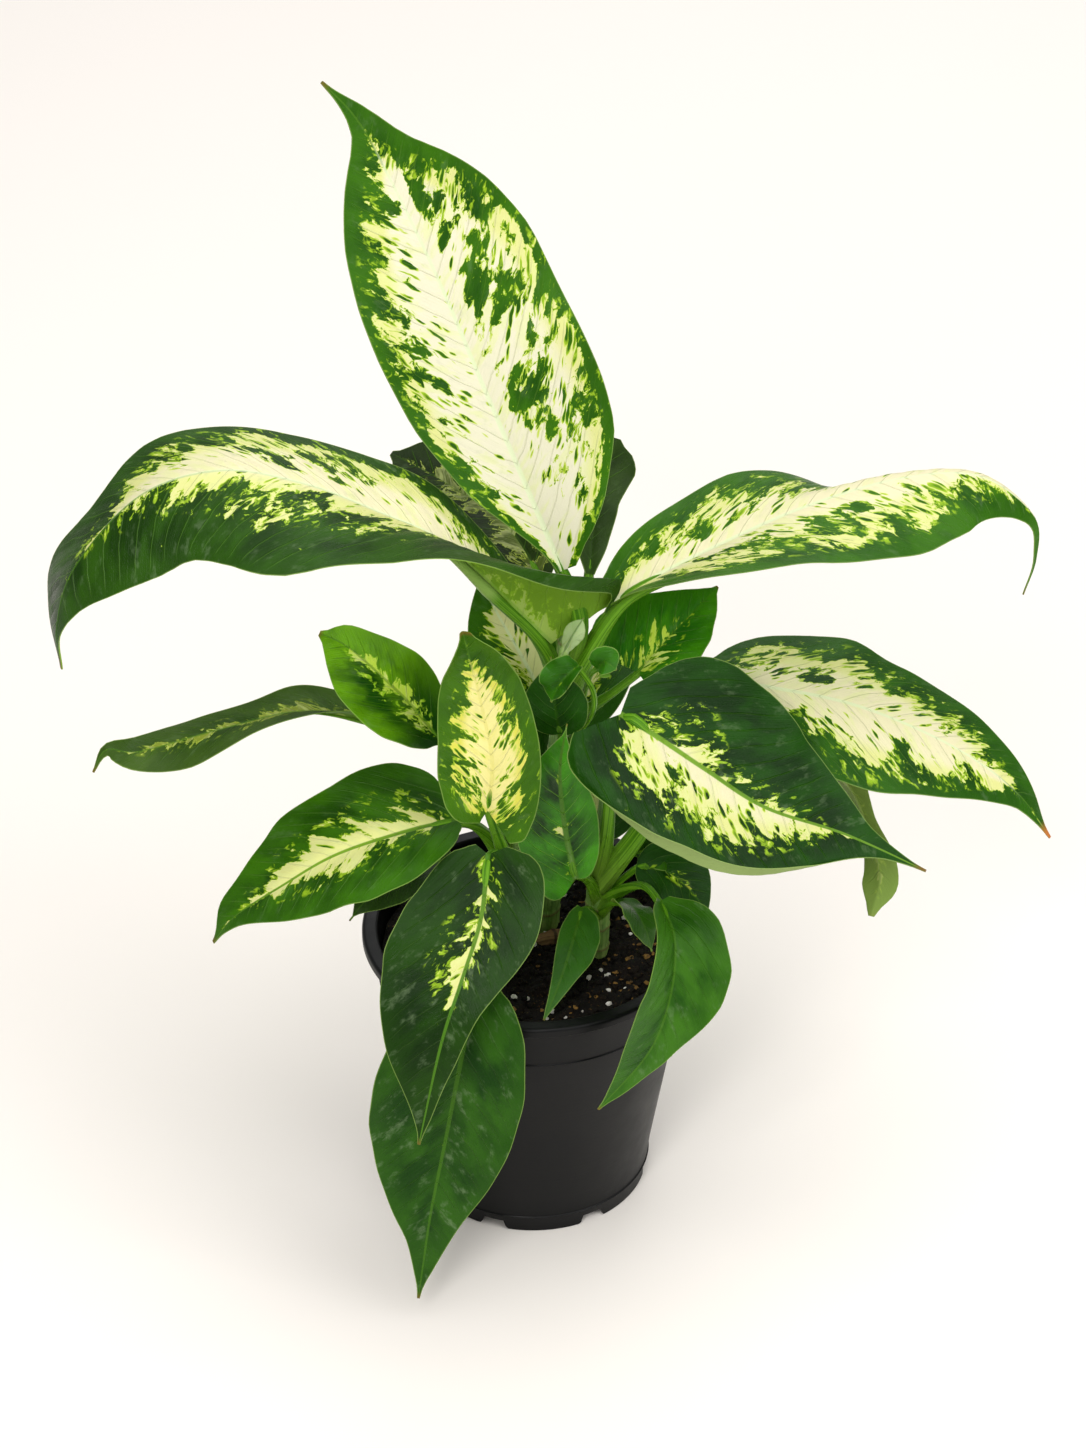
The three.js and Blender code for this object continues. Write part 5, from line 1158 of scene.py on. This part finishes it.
makeLeaf({
    "node": "leaf_lower_left", "slot": "leaf_cream", "cane": "cane_left", "height": 180, "stem": [4.2, 2.8],
    "stalk": [[-17, -28, 202], [-25, -37, 219]],
    "rib": [[-33, -46, 229], [-57, -56, 229], [-85, -64, 223], [-108, -70, 211], [-128, -74, 198],
            [-138, -76, 185]],
    "face": [[0, -0.3, 0.95], [-0.1, -0.3, 0.95], [-0.4, -0.3, 0.85]],
    "edges": [[[0, 4], [0.05, 13], [0.12, 20], [0.25, 27], [0.4, 30], [0.55, 27], [0.68, 19], [0.78, 11],
               [0.86, 6], [0.93, 3], [1, 0.7]],
              [[0, 5], [0.06, 26], [0.15, 34], [0.28, 35], [0.38, 31], [0.5, 32], [0.6, 31], [0.7, 24],
               [0.8, 16], [0.9, 11], [0.96, 5], [1, 0.7]]],
    "fold": [14, 4, 0], "curl": [-6, 0], "wave": [2, 2, 0.2], "lobe": [4, 10], "veinGap": 10, "puff": 0.6,
    "cream": [[(0, -0.3), (0.1, 0), (0.25, 0.1), (0.4, 0.24), (0.55, 0.24), (0.66, 0.14), (0.8, 0),
               (0.92, -0.3)],
              [(0, -0.3), (0.08, 0.15), (0.2, 0.34), (0.35, 0.3), (0.5, 0.3), (0.65, 0.26), (0.8, 0.12),
               (0.93, -0.2)]],
    "look": {"seed": 101, "dark": rgb(24, 64, 0), "mid": rgb(54, 106, 4), "cream": rgb(230, 232, 150),
             "rib": rgb(124, 164, 46), "ribShows": 1, "ribUnder": rgb(124, 164, 46), "fade": 1.1,
             "blotchSize": (8, 16), "blotchFrom": (0.6, 0.6)},
})
makeLeaf({
    "node": "leaf_droop_left", "cane": "cane_left", "height": 172, "stem": [4.2, 2.8],
    "stalk": [[-13, -34, 194], [-15, -48, 212]],
    "rib": [[-19, -62, 222], [-22, -86, 205], [-30, -105, 187], [-39, -118, 162], [-49, -127, 114]],
    "face": [[0, -0.6, 0.8], [0, -0.85, 0.5], [0, -0.95, 0.3]],
    "edges": [[[0, 6], [0.05, 20], [0.12, 26], [0.25, 26], [0.38, 19], [0.5, 12], [0.6, 10], [0.7, 8],
               [0.8, 5], [1, 0.7]],
              [[0, 4], [0.05, 16], [0.12, 24], [0.25, 33], [0.4, 36], [0.55, 31], [0.7, 22], [0.8, 13],
               [0.9, 5], [1, 0.7]]],
    "fold": [12, 4, 0], "lobe": 16, "veinGap": 11, "puff": 0.5,
    "cream": [[(0, -0.1), (0.1, 0.02), (0.2, 0.08), (0.3, 0.1), (0.38, 0.02), (0.48, -0.1), (0.58, -0.4)],
              [(0, -0.1), (0.1, 0.02), (0.2, 0.08), (0.3, 0.16), (0.4, 0.18), (0.5, 0.02), (0.6, -0.3)]],
    "look": {"seed": 103, "dark": rgb(11, 40, 0), "mid": rgb(28, 64, 2), "cream": rgb(206, 216, 112),
             "rib": rgb(108, 146, 42), "ribShows": 1, "ribUnder": rgb(108, 146, 42), "dusty": 0.35,
             "veinShows": 0.1, "fade": 1.7, "clearRib": 0, "blotchSize": (6, 16)},
})
makeLeaf({
    "node": "leaf_lowest", "cane": "cane_left", "height": 140, "stem": [4, 3],
    "stalk": [[-18, -42, 164], [-21, -64, 174]],
    "rib": [[-24, -81, 165], [-31, -94, 134], [-38, -102, 96], [-45, -108, 58], [-51, -113, 13]],
    "face": [[0, -0.9, 0.4], [0, -0.95, 0.3], [0, -0.98, 0.2]],
    "edges": [[[0, 6], [0.05, 16], [0.15, 26], [0.3, 31], [0.45, 29], [0.6, 23], [0.72, 15], [0.82, 9],
               [0.92, 3.5], [1, 0.7]],
              [[0, 8], [0.05, 20], [0.15, 30], [0.3, 36], [0.45, 35], [0.6, 27], [0.72, 17], [0.8, 9],
               [0.9, 4], [1, 0.7]]],
    "fold": [12, 4, 0], "lobe": 12, "veinGap": 11, "puff": 0.6,
    "look": {"seed": 107, "dark": rgb(16, 56, 2), "mid": rgb(42, 88, 10), "rib": rgb(90, 126, 50),
             "dusty": 0.4, "veinShows": 0.1, "flecksFrom": 0.99},
})
makeLeaf({
    "node": "leaf_droop_right", "cane": "cane_right", "height": 150, "stem": [4, 2.2],
    "stalk": [[39, -22, 172], [49, -38, 187]],
    "rib": [[56, -50, 188], [62, -66, 178], [60, -78, 156], [51, -86, 132], [29, -90, 103]],
    "face": [[0.4, -0.6, 0.6], [0.4, -0.8, 0.45], [0.4, -0.9, 0.3]],
    "edges": [[[0, 3], [0.06, 14], [0.15, 22], [0.3, 27], [0.42, 25], [0.52, 18], [0.62, 11], [0.75, 7],
               [0.88, 4], [1, 0.7]],
              [[0, 2], [0.08, 11], [0.2, 18], [0.4, 24], [0.55, 21], [0.7, 14], [0.82, 7], [0.92, 2.5],
               [1, 0.7]]],
    "fold": [[14, 4, 0], [40, 30, 0]], "wave": [1, 2, 0.2], "lobe": 6, "puff": 0.6,
    "look": {"seed": 109, "dark": rgb(24, 70, 4), "mid": rgb(56, 108, 18), "rib": rgb(112, 150, 50),
             "dusty": 0.25, "veinShows": 0.12, "flecksFrom": 0.99},
})
makeLeaf({
    "node": "leaf_small_front", "cane": "cane_right", "height": 142, "stem": [3, 1.8],
    "stalk": [[26, -20, 160]],
    "rib": [[22, -25, 165], [17, -42, 156], [11, -56, 144], [5, -66, 134]],
    "face": [0, -0.6, 0.8],
    "edges": [[[0, 2], [0.08, 8], [0.25, 12], [0.45, 11], [0.6, 7], [0.75, 4], [0.9, 1.5], [1, 0.7]],
              [[0, 2], [0.08, 5], [0.25, 7], [0.45, 6], [0.65, 4], [0.85, 2], [1, 0.7]]],
    "fold": [14, 6, 0], "wave": [0.6, 2, 0.2], "lobe": 3, "veinGap": 6,
    "look": {"seed": 113, "dark": rgb(30, 76, 12), "mid": rgb(56, 110, 24), "flecksFrom": 0.99},
})
makeLeaf({
    "node": "leaf_centre_low", "cane": "cane_right", "height": 158, "stem": [3.6, 2.2],
    "stalk": [[25, -22, 178]],
    "rib": [[19, -37, 190], [14, -38, 220], [12, -36, 248], [15, -30, 268]],
    "face": [0, -0.9, 0.4],
    "wide": [22, 15], "shape": [0.42, 0.45, 1.15, 0.1], "fold": [10, 4, 0], "wave": [1, 2, 0.2],
    "lobe": [30, 4], "veinGap": 8, "ribWidth": 0.6,
    "cream": [(0, 0.02), (0.15, -0.02), (0.3, -0.1), (0.6, -0.15), (1, -0.4)],
    "look": {"seed": 127, "dark": rgb(4, 44, 0), "mid": rgb(66, 146, 10), "veinGreen": rgb(120, 176, 70),
             "rib": rgb(170, 206, 130), "ribShows": 1, "veinShows": 0.6, "gloss": 0.2, "shine": 0.22,
             "clearRib": 0, "flecksFrom": 0.8},
})
makeLeaf({
    **smallLeaf, "node": "leaf_small_dark", "cane": "cane_main", "height": 216, "wide": [14, 15],
    "stalk": [[13, -4, 238]],
    "rib": [[12, -18, 254], [10, -20, 269], [9, -18, 279], [8, -14, 292]],
    "face": [-0.2, -0.9, 0.4],
    "look": {"seed": 131, "dark": rgb(18, 52, 6), "mid": rgb(34, 82, 12), "ribShows": 0.2,
             "flecksFrom": 0.9},
})
makeLeaf({
    **smallLeaf, "node": "leaf_speckled_a", "cane": "cane_main", "height": 158, "wide": [13, 13],
    "stalk": [[22, 6, 172], [38, -2, 180]],
    "rib": [[46, -6, 181], [59, -5, 184], [68, -5, 178], [73, -7, 168]],
    "face": [[0, -0.5, 0.85], [0.1, -0.5, 0.85], [0.4, -0.5, 0.75]],
    "cream": [(0, -0.2), (0.5, -0.15), (1, -0.4)],
    "look": {**speckled, "seed": 137, "dark": rgb(20, 50, 6), "flecksFrom": 0.62},
})
makeLeaf({
    **smallLeaf, "node": "leaf_speckled_b", "cane": "cane_right", "height": 138, "wide": [16, 17],
    "stalk": [[34, -8, 160]],
    "rib": [[46, -14, 180], [60, -16, 178], [71, -20, 170], [79, -26, 160]],
    "face": [[0, -0.5, 0.85], [0.1, -0.5, 0.85], [0.4, -0.5, 0.75]],
    "cream": [(0, -0.2), (0.5, -0.15), (1, -0.4)],
    "look": {**speckled, "seed": 139, "dark": rgb(18, 50, 8), "mid": rgb(32, 76, 14),
             "ribUnder": rgb(70, 110, 30), "flecksFrom": 0.64},
})
makeLeaf({
    "node": "leaf_low_dark", "cane": "cane_left", "height": 150, "stem": [3.6, 2.2],
    "stalk": [[-22, -24, 178]],
    "rib": [[-34, -34, 198], [-54, -42, 200], [-71, -50, 190], [-80, -54, 180]],
    "face": [0, -0.2, 0.95],
    "wide": [17, 18], "shape": [0.42, 0.55, 1.15, 0.1], "fold": [10, 4, 0], "wave": [0.8, 2, 0.2],
    "lobe": 3, "veinGap": 8,
    "look": {"seed": 149, "dark": rgb(28, 52, 10), "mid": rgb(46, 78, 18), "flecksFrom": 0.99},
})
makeLeaf({
    "node": "leaf_folded", "slot": "leaf_lime", "cane": "cane_right", "height": 146, "stem": [3, 1.8],
    "stalk": [[34, -20, 163]],
    "rib": [[38, -23, 168], [45, -32, 170], [50, -40, 165], [53, -44, 155]],
    "face": [[0.5, -0.4, 0.7], [0.75, -0.55, 0.3], [0.8, -0.6, 0.1]],
    "wide": [11, 11], "shape": [0.45, 0.55, 1, 0.1], "fold": [10, 4, 0], "wave": [0.5, 2, 0.2],
    "veinGap": 6,
    "look": {"seed": 151, "ribUnder": rgb(128, 158, 60), "under": rgb(128, 158, 60), "flecksFrom": 0.99},
})
makeLeaf({
    "node": "leaf_curled_left", "slot": "leaf_lime", "cane": "cane_main", "height": 222, "stem": [2.6, 1.6],
    "stalk": [[18, -8, 246], [26, -22, 268], [26, -26, 283]],
    "rib": [[20, -31, 299], [17, -35, 299], [12, -37, 294], [8, -38, 285]],
    "face": [[0, -0.8, 0.6], [0, -0.8, 0.6], [-0.6, -0.8, 0.1]],
    "wide": [5, 10], "shape": [0.5, 0.6, 0.8, 0.1], "fold": [[50, 30, 10], [20, 10, 10]], "curl": [10, 0],
    "wave": [1.6, 2.6, 0.2], "lobe": 1, "veinGap": 5,
    "cream": [(0, -0.3), (0.5, -0.2), (1, -0.4)],
    "look": {**curled, "seed": 157},
})
makeLeaf({
    "node": "leaf_curled_right", "slot": "leaf_lime", "cane": "cane_main", "height": 234,
    "stem": [2.4, 1.5],
    "stalk": [[21, -6, 262], [25, -22, 288]],
    "rib": [[28, -28, 295], [31, -31, 301], [36, -34, 299]],
    "face": [[-0.3, -0.7, 0.6], [0.1, -0.8, 0.6], [0.4, -0.8, 0.4]],
    "wide": [7, 7], "shape": [0.6, 0.55, 0.7, 0], "fold": [[30, 20, 10], [20, 10, 10]],
    "wave": [0.5, 2, 0.2], "lobe": 0, "veinGap": 5,
    "cream": [(0, -0.3), (0.5, -0.2), (1, -0.4)],
    "look": {**curled, "seed": 163},
})
makeLeaf({
    "node": "new_leaf", "slot": "leaf_lime", "cane": "cane_main", "height": 266, "stem": [3.4, 2.6],
    "stalk": [[13, -3, 280]],
    "rib": [[13, -8, 289], [17, -9, 299], [22, -8, 308]],
    "face": [[-0.2, -0.9, 0.3], [-0.2, -0.9, 0.3], [-0.2, -0.9, 0.4]],
    "wide": [6, 6], "shape": [0.5, 0.55, 0.8, 0.1], "fold": [-50, -40, -20], "wave": [0, 2, 0], "lobe": 0,
    "veinGap": 4,
    "look": {"seed": 167, "dark": rgb(148, 184, 106), "mid": rgb(190, 212, 156), "rib": rgb(196, 216, 160),
             "ribUnder": rgb(176, 204, 130), "under": rgb(190, 212, 156), "stalk": rgb(130, 174, 76),
             "stalkLight": rgb(176, 206, 130), "glow": 0.2},
})
makeLeaf({
    **rearLeaf, "node": "leaf_rear_left", "height": 156,
    "stalk": [[3, 24, 176]],
    "rib": [[0, 38, 192], [-14, 60, 208], [-32, 88, 206], [-48, 112, 188]],
    "face": [[0, 0.1, 1], [-0.1, 0.3, 0.9], [-0.2, 0.6, 0.7]],
    "cream": [[(0, 0), (0.2, 0.3), (0.5, 0.34), (0.8, 0.1), (1, -0.4)],
              [(0, 0), (0.2, 0.26), (0.5, 0.34), (0.8, 0.05), (1, -0.4)]],
    "look": {**rear, "seed": 173},
})
makeLeaf({
    **rearLeaf, "node": "leaf_rear_right", "height": 134, "wave": [1.5, 2, 0.5],
    "stalk": [[15, 22, 148]],
    "rib": [[24, 34, 158], [38, 57, 176], [54, 84, 176], [66, 110, 158]],
    "face": [[0, 0.1, 1], [0.1, 0.3, 0.9], [0.2, 0.6, 0.7]],
    "cream": [[(0, 0), (0.2, 0.26), (0.5, 0.34), (0.8, 0.05), (1, -0.4)],
              [(0, 0), (0.2, 0.3), (0.5, 0.3), (0.8, 0.1), (1, -0.4)]],
    "look": {**rear, "seed": 179},
})
makeLeaf({
    **rearLeaf, "node": "leaf_rear", "height": 178, "wave": [1.5, 2, 0.8],
    "stalk": [[12, 25, 196]],
    "rib": [[17, 42, 212], [20, 70, 232], [22, 98, 226], [24, 122, 200]],
    "face": [[0, 0, 1], [0, 0.3, 0.95], [0, 0.8, 0.6]],
    "cream": [[(0, 0.1), (0.2, 0.42), (0.5, 0.48), (0.8, 0.15), (1, -0.4)],
              [(0, 0.1), (0.2, 0.42), (0.5, 0.44), (0.8, 0.2), (1, -0.4)]],
    "look": {**rear, "seed": 181},
})
print("the leaves are made")

makeCanes()
makePot()
makeSoil()
makeGrains()
makeStudio()
